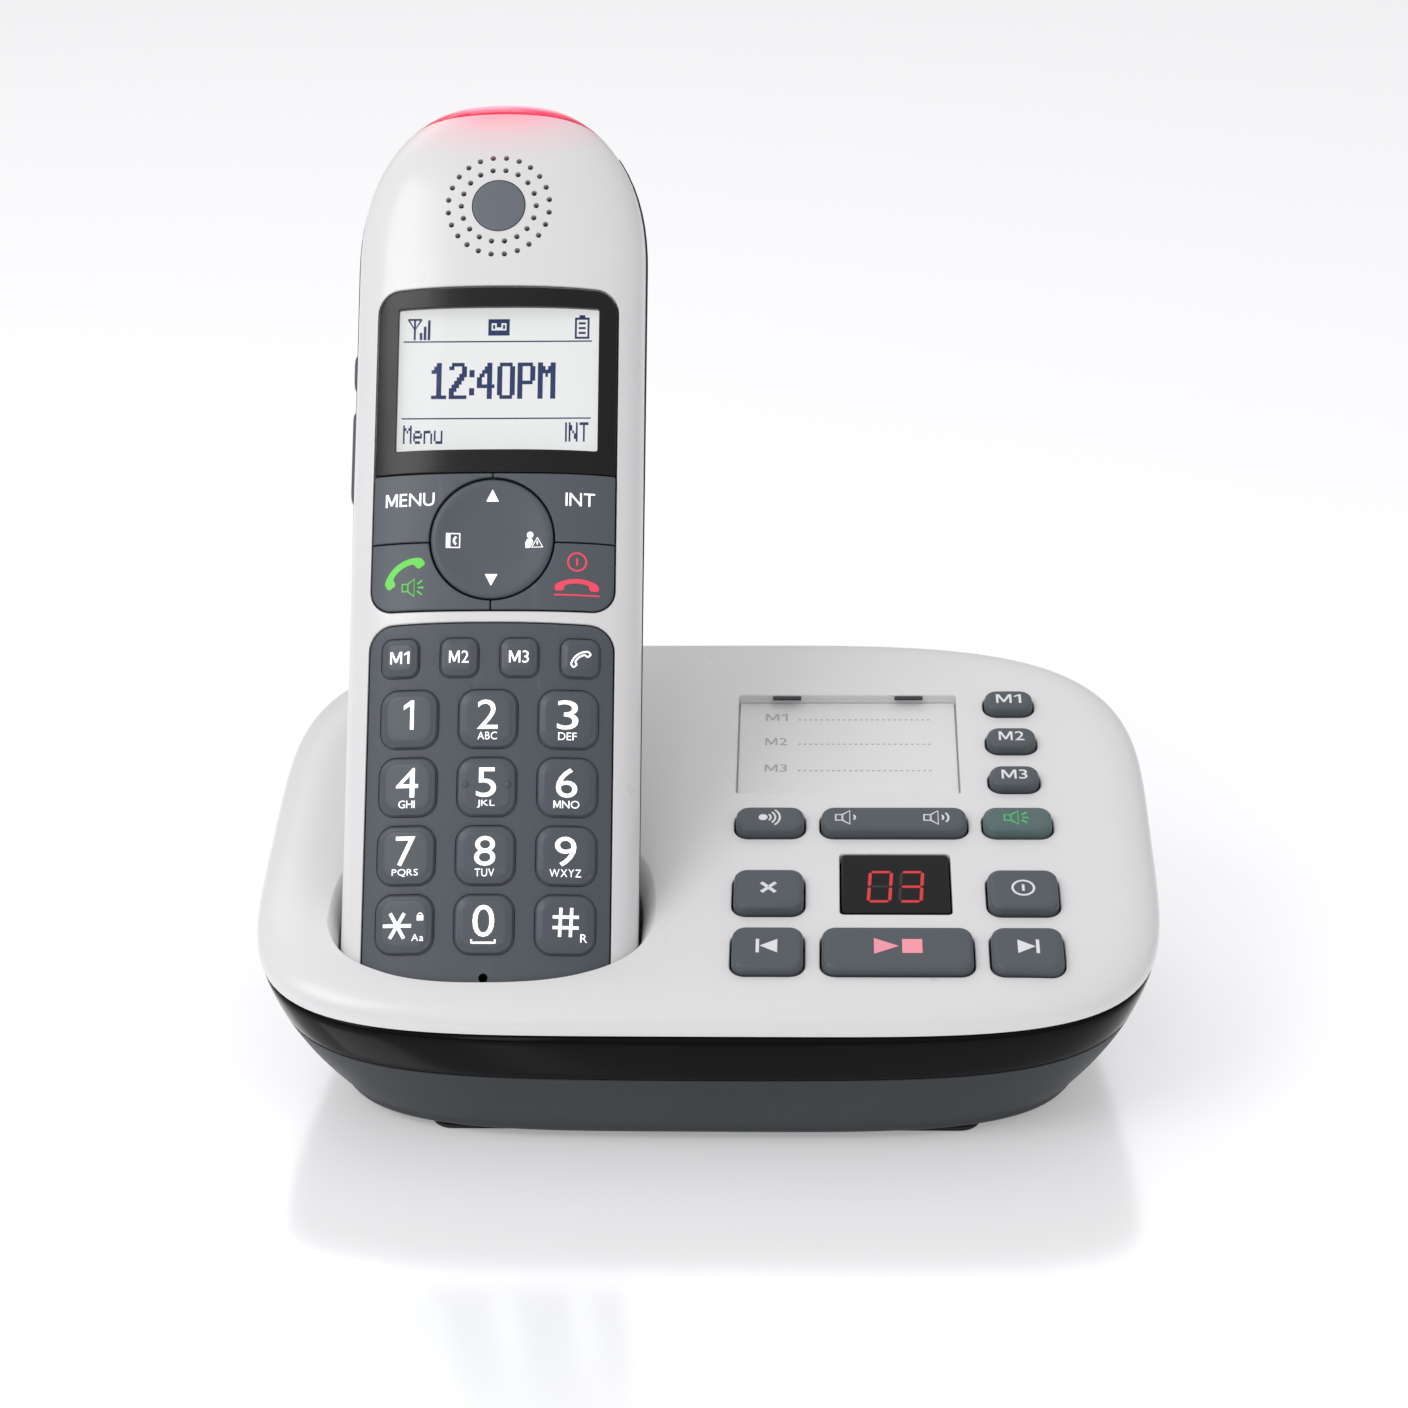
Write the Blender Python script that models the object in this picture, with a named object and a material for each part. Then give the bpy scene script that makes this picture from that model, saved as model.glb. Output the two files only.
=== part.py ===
"""A cordless phone standing in its answering-machine base: a two-shell handset with its keys, and the cradle base.

Three frames carry every piece. The stand has its origin at the middle of the base's underside. The deck is the
base's sloping top, with Y up the slope and Z out of it. The handset has X across, Y into its depth and Z along it.
"""

import math

import bmesh
import bpy
from mathutils import Vector

MM = 0.001

# The base's sloping deck and its outline, in the deck's own plane
DECK_SLOPE = math.radians(15.3)
DECK_HEIGHT = 43.1 * MM
BASE_HALF_WIDTH = 83.1 * MM
DECK_WIDEST = 3.1 * MM
DECK_FRONT = 54.2 * MM
DECK_REAR = 56.7 * MM
FRONT_SQUARENESS = 4.8
REAR_SQUARENESS = 3.8
EDGE_ROLL = 9.0 * MM
EDGE_DROP = 4.5 * MM
EDGE_LIP = 1.0 * MM
SHELL_WALL = 2.2 * MM
BAND_HEIGHT = 8.6 * MM

# The footprint that the bottom shell narrows down to
FOOTPRINT_HALF_WIDTH = 70.0 * MM
FOOTPRINT_WIDEST = 4.0 * MM
FOOTPRINT_FRONT = 47.0 * MM
FOOTPRINT_REAR = 43.0 * MM
FOOTPRINT_SQUARENESS = 4.0
BOTTOM_EDGE_RADIUS = 2.0 * MM
SIDE_BULGE = 2.0 * MM
FOOT_HEIGHT = 1.0 * MM
FOOT_WIDTH = 8.0 * MM

# The handset, with its face at depth 0
HANDSET_X = -38.9 * MM
HANDSET_RIM_Y = -40.7 * MM
HANDSET_LEAN = math.radians(33.5)
HANDSET_HALF_WIDTH = 27.0 * MM
HANDSET_TOP = 167.6 * MM
HANDSET_SUNK = 6.0 * MM
FRONT_DEPTH = 10.0 * MM
REAR_DEPTH = 15.5 * MM
FACE_SQUARENESS = 2.5
BACK_SQUARENESS = 3.2
TOP_ARC = 33.0 * MM
TOP_ARC_SQUARENESS = 2.25
TOP_FACE_ROUND = 20.0 * MM
BOTTOM_ROUND = 5.0 * MM
HANDSET_WALL = 2.0 * MM
RING_HALF_WIDTH = 19.0 * MM
RING_DIP = 5.8 * MM
RING_BEHIND = 3.5 * MM

# The cradle
CRADLE_CLEARANCE = 0.5 * MM
CRADLE_FLOOR_GAP = 1.0 * MM
CRADLE_WALL = 2.0 * MM
CRADLE_FLARE = 2.5 * MM
FLARE_DEPTH = 4.0 * MM
CONTACT_SPREAD = 8.0 * MM
CONTACT_RADIUS = 1.25 * MM

# Fits
GAP = 0.3 * MM
PANEL_GAP = 0.25 * MM

# Keys
BASE_KEY_RISE = 2.0 * MM
BASE_KEY_REACH = 8.2 * MM
BASE_KEY_CORNER = 2.4 * MM
BASE_KEY_ROWS = {"volume": -0.3 * MM, "delete": -19.9 * MM, "play": -35.5 * MM}
BASE_KEY_COLUMNS = (11.5 * MM, 34.7 * MM, 57.8 * MM)
MEMORY_KEY_PITCH = 11.6 * MM
MEMORY_KEY_TOP = 35.6 * MM
PAD_KEY_RISE = 0.9 * MM
PAD_KEY_FLOOR = 6.5 * MM
DIGIT_KEY_SIZE = 10.3 * MM
DIGIT_KEY_CORNER = 2.9 * MM
DIGIT_COLUMN_PITCH = 14.4 * MM
DIGIT_ROW_PITCH = 12.4 * MM
DIGIT_TOP_ROW = 46.9 * MM
MEMORY_PAD_WIDTH = 6.6 * MM
MEMORY_PAD_HEIGHT = 6.8 * MM
MEMORY_PAD_PITCH = 10.9 * MM
MEMORY_PAD_ROW = 58.2 * MM

# The handset's openings
PANEL_HALF_WIDTH = 22.2 * MM
PANEL_TOP = 64.3 * MM
PANEL_BOTTOM = -2.0 * MM
PANEL_CORNER = 4.5 * MM
PANEL_THICKNESS = 1.8 * MM
ARCH_RISE = 1.2 * MM
CONTROLS_BOTTOM = 67.1 * MM
CONTROLS_TOP = 92.7 * MM
CONTROLS_SPLIT = 79.7 * MM
CONTROLS_CORNER = 4.0 * MM
CONTROLS_RISE = 0.25 * MM
WINDOW_TOP = 127.4 * MM
WINDOW_THICKNESS = 1.0 * MM
NAVIGATION_CENTRE = 80.3 * MM
NAVIGATION_RADIUS = 11.2 * MM
NAVIGATION_PIVOT_RADIUS = 3.0 * MM
EARPIECE_CENTRE = 144.1 * MM
EARPIECE_DISC_RADIUS = 4.9 * MM
EARPIECE_RADIUS = 10.5 * MM
EARPIECE_SETBACK = 2.2 * MM
LCD_LEFT = -19.4 * MM
LCD_RIGHT = 17.8 * MM
LCD_BOTTOM = 95.5 * MM
LCD_TOP = 126.0 * MM
LCD_DEPTH = 3.5 * MM
BOARD_DEPTH = 8.0 * MM
BOARD_THICKNESS = 1.2 * MM
SIDE_KEY_DEPTH = 13.4 * MM
SIDE_KEY_WIDTH = 4.6 * MM
SIDE_KEY_PROUD = 1.0 * MM
BOOST_KEY = (111.9 * MM, 119.0 * MM)
VOLUME_KEY = (90.0 * MM, 107.9 * MM)
DOOR_HALF_WIDTH = 17.5 * MM
DOOR_BOTTOM = 60.0 * MM
DOOR_TOP = 120.0 * MM
CELL_LENGTH = 44.5 * MM
CELL_RADIUS = 5.25 * MM

# The deck's card recess and message display
CARD_LEFT = 4.8 * MM
CARD_RIGHT = 47.6 * MM
CARD_FRONT = 9.3 * MM
CARD_REAR = 39.3 * MM
CARD_RECESS_DEPTH = 2.5 * MM
CARD_THICKNESS = 0.3 * MM
CARD_WINDOW_THICKNESS = 0.8 * MM
DISPLAY_WIDTH = 19.8 * MM
DISPLAY_HEIGHT = 16.0 * MM
DISPLAY_UP = -16.6 * MM
DECK_BOARD_DEPTH = 9.5 * MM

# The jacks at the rear
LINE_JACK_X = 24.0 * MM
POWER_JACK_X = 4.0 * MM
JACK_WIDTH = 12.6 * MM
JACK_HEIGHT = 12.0 * MM
JACK_LENGTH = 15.0 * MM
JACK_FACE_Y = 49.5 * MM
LINE_SOCKET = (9.8 * MM, 6.8 * MM)
POWER_SOCKET_RADIUS = 3.0 * MM
SPEAKER_RADIUS = 20.0 * MM
SPEAKER_PLACE = (34.0 * MM, 2.0 * MM)

OUTLINE_POINTS = 48
SECTION_POINTS = 32


def clear_scene():
    for old in list(bpy.data.objects):
        bpy.data.objects.remove(old)


def plastic(name, colour, roughness, metallic=0.0):
    """A plain Principled material, its colour given as sRGB from 0 to 255."""
    material = bpy.data.materials.new(name)
    material.use_nodes = True
    shader = material.node_tree.nodes["Principled BSDF"]
    linear = [(channel / 255) ** 2.2 for channel in colour]
    shader.inputs["Base Color"].default_value = (*linear, 1)
    shader.inputs["Roughness"].default_value = roughness
    shader.inputs["Metallic"].default_value = metallic
    material.diffuse_color = (*linear, 1)
    return material


def frame(name, parent=None, location=(0, 0, 0), tilt=0.0):
    empty = bpy.data.objects.new(name, None)
    empty.location = location
    empty.rotation_euler = (tilt, 0, 0)
    empty.parent = parent
    bpy.context.scene.collection.objects.link(empty)
    return empty


def make_object(name, mesh_builder, material, parent, location=(0, 0, 0)):
    """Turns a bmesh into an object with outward normals, smooth where it is round."""
    bmesh.ops.recalc_face_normals(mesh_builder, faces=mesh_builder.faces)
    mesh = bpy.data.meshes.new(name)
    mesh_builder.to_mesh(mesh)
    mesh_builder.free()
    mesh.shade_smooth()
    mesh.set_sharp_from_angle(angle=math.radians(35))
    if material:
        mesh.materials.append(material)
    made = bpy.data.objects.new(name, mesh)
    made.location = location
    made.parent = parent
    bpy.context.scene.collection.objects.link(made)
    return made


def make_cutter(name, mesh_builder, parent, location=(0, 0, 0)):
    cutter = make_object(name, mesh_builder, None, parent, location)
    cutter.hide_render = True
    cutter.display_type = "WIRE"
    return cutter


def combine(target, tool, operation):
    modifier = target.modifiers.new(f"{operation.lower()}_{tool.name}", "BOOLEAN")
    modifier.operation = operation
    modifier.object = tool
    modifier.solver = "EXACT"


def loft(rings, closed_loop=False):
    """Skins rings of points in turn, and caps the two ends unless the rings close into a loop."""
    skin = bmesh.new()
    rows = [[skin.verts.new(point) for point in ring] for ring in rings]
    pairs = list(zip(rows, rows[1:]))
    if closed_loop:
        pairs.append((rows[-1], rows[0]))
    else:
        skin.faces.new(rows[0])
        skin.faces.new(rows[-1])
    for lower, upper in pairs:
        for i in range(len(lower)):
            j = (i + 1) % len(lower)
            skin.faces.new((lower[i], lower[j], upper[j], upper[i]))
    return skin


def box(low, high):
    (x0, y0, z0), (x1, y1, z1) = low, high
    ends = [[(x0, y0, z), (x1, y0, z), (x1, y1, z), (x0, y1, z)] for z in (z0, z1)]
    return loft(ends)


def disc(radius, low, high, sides=32, centre=(0, 0), axis="Z"):
    """An upright or lying cylinder between two heights along its axis."""
    rings = []
    for level in (low, high):
        ring = []
        for i in range(sides):
            angle = 2 * math.pi * i / sides
            across = centre[0] + radius * math.cos(angle)
            along = centre[1] + radius * math.sin(angle)
            ring.append((across, along, level) if axis == "Z" else (across, level, along))
        rings.append(ring)
    return loft(rings)


def power(value, exponent):
    return math.copysign(abs(value) ** exponent, value)


def outline(half_width, front, rear, front_squareness, rear_squareness, widest=0.0):
    """A rounded outline whose front and rear halves are superellipses that share their width."""
    points = []
    for i in range(OUTLINE_POINTS):
        angle = 2 * math.pi * i / OUTLINE_POINTS
        reach, squareness = (rear, rear_squareness) if math.sin(angle) > 0 else (front, front_squareness)
        x = half_width * power(math.cos(angle), 2 / squareness)
        y = widest + reach * power(math.sin(angle), 2 / squareness)
        points.append((x, y))
    return points


def rounded_rectangle(width, height, corner, steps=2, top_corner=None, arch=0.0):
    """Corner points anticlockwise from the lower right, about the middle. The top edge may rise into an arch."""
    top_corner = corner if top_corner is None else top_corner
    points = []
    for quarter, (side, level) in enumerate(((1, -1), (1, 1), (-1, 1), (-1, -1))):
        radius = top_corner if level > 0 else corner
        centre = (side * (width / 2 - radius), level * (height / 2 - radius))
        for step in range(steps + 1):
            angle = math.radians(-90 + 90 * quarter + 90 * step / steps)
            points.append((centre[0] + radius * math.cos(angle), centre[1] + radius * math.sin(angle)))
        if quarter == 1 and arch:
            for share in (0.5, 0.0, -0.5):
                points.append((share * (width - 2 * radius), height / 2 + arch * (1 - share**2)))
    return points


# ---- the base's shells ----


def deck_outline(inset):
    return outline(
        BASE_HALF_WIDTH - inset,
        DECK_FRONT - inset,
        DECK_REAR - inset,
        FRONT_SQUARENESS,
        REAR_SQUARENESS,
        DECK_WIDEST,
    )


def deck_ring(inset, level):
    return [(x, y, level) for x, y in deck_outline(inset)]


def rolled_edge(wall):
    """Rings from the deck's flat down its rolled edge, a wall's thickness inside the outer surface."""
    rings = []
    for degrees in (0, 30, 60, 90):
        angle = math.radians(degrees)
        inset = EDGE_ROLL * (1 - math.sin(angle)) + wall
        rings.append(deck_ring(inset, -(EDGE_DROP - wall * 0.2) * (1 - math.cos(angle)) - wall))
    return rings


def deck_to_stand(point):
    x, y, z = point
    c, s = math.cos(DECK_SLOPE), math.sin(DECK_SLOPE)
    return (x, y * c - z * s, DECK_HEIGHT + y * s + z * c)


def stand_to_deck_level(point):
    x, y, z = point
    return (z - DECK_HEIGHT) * math.cos(DECK_SLOPE) - y * math.sin(DECK_SLOPE)


def flank_ends(inset):
    """For each outline point, the top of the base's flank under the deck's edge and its foot at the footprint."""
    top_level = -(EDGE_DROP + EDGE_LIP)
    tops = [deck_to_stand(point) for point in deck_ring(inset, top_level)]
    floor = FOOT_HEIGHT + GAP + BOTTOM_EDGE_RADIUS
    foot = outline(
        FOOTPRINT_HALF_WIDTH - inset,
        FOOTPRINT_FRONT - inset,
        FOOTPRINT_REAR - inset,
        FOOTPRINT_SQUARENESS,
        FOOTPRINT_SQUARENESS,
        FOOTPRINT_WIDEST,
    )
    feet = [(x, y, floor) for x, y in foot]
    return tops, feet


def flank_point(top, foot, share):
    """A point down the flank, which swells a little between its ends."""
    swell = 4 * share * (1 - share) * SIDE_BULGE
    middle = Vector(top).lerp(Vector(foot), share)
    out = Vector((middle.x, middle.y, 0)).normalized()
    return middle + out * swell


def flank_ring_at_level(inset, level):
    """A ring round the flank in a plane parallel to the deck."""
    ring = []
    for top, foot in zip(*flank_ends(inset)):
        high, low = stand_to_deck_level(top), stand_to_deck_level(foot)
        ring.append(flank_point(top, foot, (high - level) / (high - low)))
    return ring


def flank_ring_below(inset, level, part):
    """A ring that lies the given part of the way down from a deck-parallel ring to the footprint."""
    ring = []
    for top, foot in zip(*flank_ends(inset)):
        high, low = stand_to_deck_level(top), stand_to_deck_level(foot)
        start = (high - level) / (high - low)
        ring.append(flank_point(top, foot, start + (1 - start) * part))
    return ring


def footprint_ring(inset, height):
    return [(x, y, height) for x, y, _ in flank_ends(inset)[1]]


def build_base_top_shell(stand, deck, handset):
    outer = rolled_edge(0.0) + [deck_ring(0.0, -EDGE_DROP - EDGE_LIP)]
    inner = rolled_edge(SHELL_WALL)[:-1] + [deck_ring(SHELL_WALL, -EDGE_DROP - EDGE_LIP)]
    shell = make_object("base_top_shell", loft(outer + inner[::-1]), WHITE, deck)

    room = [[deck_to_stand(point) for point in deck_ring(SHELL_WALL * 0.6, -1.0 * MM)]]
    clear = SHELL_WALL + 2 * GAP
    for level in (-EDGE_DROP - EDGE_LIP, -EDGE_DROP - EDGE_LIP - BAND_HEIGHT):
        room.append(flank_ring_at_level(clear, level))
    room.append(footprint_ring(clear + BOTTOM_EDGE_RADIUS, FOOT_HEIGHT + SHELL_WALL))
    under_deck = make_cutter("room_under_deck", loft(room), stand)
    tub = make_cutter("cradle_tub", cradle_sweep(CRADLE_WALL), handset)
    combine(tub, under_deck, "INTERSECT")
    combine(shell, tub, "UNION")

    wall = 1.5 * MM
    tray = box(
        (CARD_LEFT - wall, CARD_FRONT - wall, -CARD_RECESS_DEPTH - wall),
        (CARD_RIGHT + wall, CARD_REAR + wall, -SHELL_WALL * 0.5),
    )
    combine(shell, make_cutter("card_tray", tray, deck), "UNION")
    recess = rounded_rectangle(CARD_RIGHT - CARD_LEFT, CARD_REAR - CARD_FRONT, 0.4 * MM, 1)
    recess_rings = [[(x, y, z) for x, y in recess] for z in (-CARD_RECESS_DEPTH, 5 * MM)]
    centre = ((CARD_LEFT + CARD_RIGHT) / 2, (CARD_FRONT + CARD_REAR) / 2, 0)
    combine(shell, make_cutter("card_recess", loft(recess_rings), deck, centre), "DIFFERENCE")

    combine(shell, make_cutter("cradle_pocket", cradle_sweep(0.0), handset), "DIFFERENCE")
    combine(shell, make_cutter("cradle_mouth", cradle_mouth(), handset), "DIFFERENCE")
    for side in (-1, 1):
        hole = disc(CONTACT_RADIUS + GAP, -30 * MM, 0, 12, (side * CONTACT_SPREAD, FRONT_DEPTH + GAP))
        combine(shell, make_cutter(f"contact_hole_{side}", hole, handset), "DIFFERENCE")
    for name, x, y, width, height in base_key_list():
        ring = rounded_rectangle(width + 2 * GAP, height + 2 * GAP, BASE_KEY_CORNER + GAP)
        hole = loft([[(px, py, z) for px, py in ring] for z in (-12 * MM, 5 * MM)])
        combine(shell, make_cutter(f"hole_{name}", hole, deck, (x, y, 0)), "DIFFERENCE")
    ring = rounded_rectangle(DISPLAY_WIDTH + 2 * GAP, DISPLAY_HEIGHT + 2 * GAP, 0.8 * MM, 1)
    hole = loft([[(px, py, z) for px, py in ring] for z in (-12 * MM, 5 * MM)])
    combine(shell, make_cutter("display_hole", hole, deck, (BASE_KEY_COLUMNS[1], DISPLAY_UP, 0)), "DIFFERENCE")


def build_base_trim_band(stand):
    top = -(EDGE_DROP + EDGE_LIP + GAP)
    bottom = top - BAND_HEIGHT
    wall = SHELL_WALL
    rings = [
        flank_ring_at_level(0.0, top),
        flank_ring_at_level(0.0, (top + bottom) / 2),
        flank_ring_at_level(0.0, bottom),
        flank_ring_at_level(wall, bottom),
        flank_ring_at_level(wall, top),
    ]
    make_object("base_trim_band", loft(rings, closed_loop=True), GLOSS_BLACK, stand)


def build_base_bottom_shell(stand):
    top = -(EDGE_DROP + EDGE_LIP + 2 * GAP + BAND_HEIGHT)
    wall = SHELL_WALL
    underside = FOOT_HEIGHT + GAP
    radius = BOTTOM_EDGE_RADIUS
    outer = [footprint_ring(radius, underside)]
    outer.append(footprint_ring(radius * (1 - math.sin(math.radians(45))), underside + radius * 0.293))
    outer += [flank_ring_below(0.0, top, part) for part in (1.0, 0.66, 0.33, 0.0)]
    inner = [flank_ring_below(wall, top, part) for part in (0.0, 0.33, 0.66, 1.0)]
    inner.append(footprint_ring(radius + wall, underside + wall))
    shell = make_object("base_bottom_shell", loft(outer + inner), DARK_GREY, stand)
    for name, x in (("line", LINE_JACK_X), ("power", POWER_JACK_X)):
        low = (x - JACK_WIDTH / 2 - GAP, JACK_FACE_Y - JACK_LENGTH - GAP, jack_floor() - GAP)
        high = (x + JACK_WIDTH / 2 + GAP, JACK_FACE_Y + 20 * MM, jack_floor() + JACK_HEIGHT + GAP)
        combine(shell, make_cutter(f"{name}_jack_hole", box(low, high), stand), "DIFFERENCE")
    slot_length, slot_width, pitch = 24 * MM, 2 * MM, 6 * MM
    for i in range(-2, 3):
        x, y = SPEAKER_PLACE[0] + i * pitch, SPEAKER_PLACE[1]
        low = (x - slot_width / 2, y - slot_length / 2, 0)
        high = (x + slot_width / 2, y + slot_length / 2, underside + wall + 1 * MM)
        combine(shell, make_cutter(f"speaker_slot_{i + 2}", box(low, high), stand), "DIFFERENCE")


def jack_floor():
    return FOOT_HEIGHT + GAP + SHELL_WALL + 1.5 * MM


def build_feet(stand):
    front = FOOTPRINT_WIDEST - FOOTPRINT_FRONT + 4 * MM
    rear = FOOTPRINT_WIDEST + FOOTPRINT_REAR - 4 * MM
    length = 2 * FOOTPRINT_HALF_WIDTH - 40 * MM
    for name, middle in (("foot_front", front + FOOT_WIDTH / 2), ("foot_rear", rear - FOOT_WIDTH / 2)):
        ring = rounded_rectangle(length, FOOT_WIDTH, FOOT_WIDTH / 2 - 0.1 * MM, 4)
        strip = loft([[(x, y, z) for x, y in ring] for z in (0, FOOT_HEIGHT)])
        make_object(name, strip, RUBBER, stand, (0, middle, 0))


# ---- the base's inner pieces ----


def build_base_inner_pieces(stand, deck):
    board_top = -DECK_BOARD_DEPTH
    board = box((-2 * MM, -41 * MM, board_top - 1.6 * MM), (64 * MM, 43 * MM, board_top))
    make_object("base_circuit_board", board, BOARD_GREEN, deck)

    x, y = SPEAKER_PLACE
    low = FOOT_HEIGHT + SHELL_WALL + 2 * GAP
    speaker = make_object("base_speaker", disc(SPEAKER_RADIUS, low, low + 5 * MM, 32, (x, y)), STEEL, stand)
    magnet = disc(SPEAKER_RADIUS * 0.5, low + 4 * MM, low + 11 * MM, 24, (x, y))
    combine(speaker, make_cutter("speaker_magnet", magnet, stand), "UNION")

    floor = -CARD_RECESS_DEPTH + GAP
    for name, low, thickness, material in (
        ("memory_card", floor, CARD_THICKNESS, PAPER),
        ("memory_card_window", floor + CARD_THICKNESS + GAP, CARD_WINDOW_THICKNESS, CLEAR),
    ):
        sheet = box(
            (CARD_LEFT + GAP, CARD_FRONT + GAP, low),
            (CARD_RIGHT - GAP, CARD_REAR - GAP, low + thickness),
        )
        make_object(name, sheet, material, deck)

    width, height = DISPLAY_WIDTH, DISPLAY_HEIGHT
    place = (BASE_KEY_COLUMNS[1], DISPLAY_UP, 0)
    ring = rounded_rectangle(width, height, 0.7 * MM, 1)
    pane = loft([[(px, py, z) for px, py in ring] for z in (-1.8 * MM, 0)])
    make_object("message_display_window", pane, GLOSS_BLACK, deck, place)
    module = box(
        (-width / 2 + 0.5 * MM, -height / 2 + 0.5 * MM, board_top + GAP),
        (width / 2 - 0.5 * MM, height / 2 - 0.5 * MM, -1.8 * MM - GAP),
    )
    make_object("message_display", module, DARK_GREY, deck, place)


def build_jacks(stand):
    floor = jack_floor()
    block_low = (-JACK_WIDTH / 2, JACK_FACE_Y - JACK_LENGTH, floor)
    block_high = (JACK_WIDTH / 2, JACK_FACE_Y, floor + JACK_HEIGHT)
    middle = floor + JACK_HEIGHT / 2
    depth = JACK_FACE_Y - 10.5 * MM

    line = make_object("line_jack", box(block_low, block_high), BLACK, stand, (LINE_JACK_X, 0, 0))
    width, height = LINE_SOCKET
    socket = box((-width / 2, depth, middle - height / 2), (width / 2, JACK_FACE_Y + 5 * MM, middle + height / 2))
    combine(line, make_cutter("line_socket", socket, stand, (LINE_JACK_X, 0, 0)), "DIFFERENCE")

    plug = make_object("power_jack", box(block_low, block_high), BLACK, stand, (POWER_JACK_X, 0, 0))
    barrel = disc(POWER_SOCKET_RADIUS, depth, JACK_FACE_Y + 5 * MM, 20, (0, middle), "Y")
    combine(plug, make_cutter("power_socket", barrel, stand, (POWER_JACK_X, 0, 0)), "DIFFERENCE")
    pin = disc(1.0 * MM, depth - 1 * MM, JACK_FACE_Y - 1 * MM, 12, (0, middle), "Y")
    combine(plug, make_cutter("power_pin", pin, stand, (POWER_JACK_X, 0, 0)), "UNION")


def build_contacts(handset):
    floor = -HANDSET_SUNK - CRADLE_FLOOR_GAP
    tip = -HANDSET_SUNK - GAP
    under = floor - CRADLE_WALL - GAP
    for name, side in (("left", -1), ("right", 1)):
        place = (side * CONTACT_SPREAD, FRONT_DEPTH + GAP, 0)
        pin = disc(CONTACT_RADIUS, under - 4 * MM, tip, 12)
        contact = make_object(f"charging_contact_{name}", pin, STEEL, handset, place)
        flange = disc(CONTACT_RADIUS + 0.9 * MM, under - 1 * MM, under, 12)
        combine(contact, make_cutter(f"contact_flange_{name}", flange, handset, place), "UNION")


# ---- the base's keys ----


def base_key_list():
    """Name, place and size of each key on the deck."""
    left, middle, right = BASE_KEY_COLUMNS
    keys = [
        (f"base_key_memory_{i + 1}", right, MEMORY_KEY_TOP - i * MEMORY_KEY_PITCH, 9.4 * MM, 6.1 * MM)
        for i in range(3)
    ]
    row = BASE_KEY_ROWS["volume"]
    keys.append(("base_key_page", left, row, 12.8 * MM, 7.0 * MM))
    keys.append(("base_key_volume", middle, row, 27.2 * MM, 7.0 * MM))
    keys.append(("base_key_speaker", right, row, 12.8 * MM, 7.0 * MM))
    row = BASE_KEY_ROWS["delete"]
    keys.append(("base_key_delete", left, row, 12.8 * MM, 10.8 * MM))
    keys.append(("base_key_power", right, row, 12.8 * MM, 10.8 * MM))
    row = BASE_KEY_ROWS["play"]
    keys.append(("base_key_previous", left, row, 12.8 * MM, 10.9 * MM))
    keys.append(("base_key_play", middle, row, 27.0 * MM, 10.9 * MM))
    keys.append(("base_key_next", right, row, 12.8 * MM, 10.9 * MM))
    return keys


def build_base_keys(deck):
    soft = 0.8 * MM
    for name, x, y, width, height in base_key_list():
        full = rounded_rectangle(width, height, BASE_KEY_CORNER)
        crown = rounded_rectangle(width - 2 * soft, height - 2 * soft, BASE_KEY_CORNER - soft * 0.6)
        rings = [
            [(px, py, -BASE_KEY_REACH) for px, py in full],
            [(px, py, BASE_KEY_RISE - soft) for px, py in full],
            [(px, py, BASE_KEY_RISE) for px, py in crown],
        ]
        make_object(name, loft(rings), KEY_GREY, deck, (x, y, 0))


# ---- the handset's shells and the cradle that fits them ----


def closing(distance, reach, squareness):
    """The share of its full size that a section keeps, at a distance from the end it rounds off to."""
    if distance >= reach:
        return 1.0
    left = 1 - max(distance, 0.0) / reach
    return (1 - left**squareness) ** (1 / squareness)


def handset_size_at(along, offset=0.0):
    """Half width, front depth and rear depth of the handset's section, grown by an offset."""
    from_top = HANDSET_TOP + offset - along
    from_bottom = along + HANDSET_SUNK + offset
    width = (HANDSET_HALF_WIDTH + offset) * closing(from_top, TOP_ARC + offset, TOP_ARC_SQUARENESS)
    rounding = closing(from_top, TOP_FACE_ROUND + offset, 2.0)
    front = (FRONT_DEPTH + offset) * rounding
    rear = (REAR_DEPTH + offset) * rounding
    inset = BOTTOM_ROUND * (1 - closing(from_bottom, BOTTOM_ROUND, 2.0))
    return width - inset, front - inset, rear - inset


def section(along, offset=0.0, half=None):
    """The handset's section at a place along it: the whole ring, or the front or rear half of it."""
    width, front, rear = handset_size_at(along, offset)
    spans = {None: (0, 360), "front": (180, 360), "rear": (0, 180)}
    start, end = spans[half]
    count = SECTION_POINTS if half is None else SECTION_POINTS // 2
    points = []
    for i in range(count + (half is not None)):
        angle = math.radians(start + (end - start) * i / count)
        behind = math.sin(angle) > 0
        depth, squareness = (rear, BACK_SQUARENESS) if behind else (front, FACE_SQUARENESS)
        x = width * power(math.cos(angle), 2 / squareness)
        y = FRONT_DEPTH + depth * power(math.sin(angle), 2 / squareness)
        points.append((x, y, along))
    return points


def face_depth(x):
    """How far the handset's face has curved back at a place across it."""
    share = min(abs(x) / HANDSET_HALF_WIDTH, 0.999)
    return FRONT_DEPTH * (1 - (1 - share**FACE_SQUARENESS) ** (1 / FACE_SQUARENESS))


def back_depth(x):
    share = min(abs(x) / HANDSET_HALF_WIDTH, 0.999)
    return FRONT_DEPTH + REAR_DEPTH * (1 - share**BACK_SQUARENESS) ** (1 / BACK_SQUARENESS)


def stations(offset=0.0):
    """Places along the handset for its sections: close together where its ends round off."""
    low = -HANDSET_SUNK - offset
    places = [low + BOTTOM_ROUND * (1 - math.cos(math.radians(a))) for a in (0, 30, 60, 90)]
    top = HANDSET_TOP + offset
    arc = TOP_ARC + offset
    places += [top - arc * (1 - math.sin(math.radians(a))) for a in (0, 18, 34, 48, 60, 70, 78, 84)]
    return places


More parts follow.
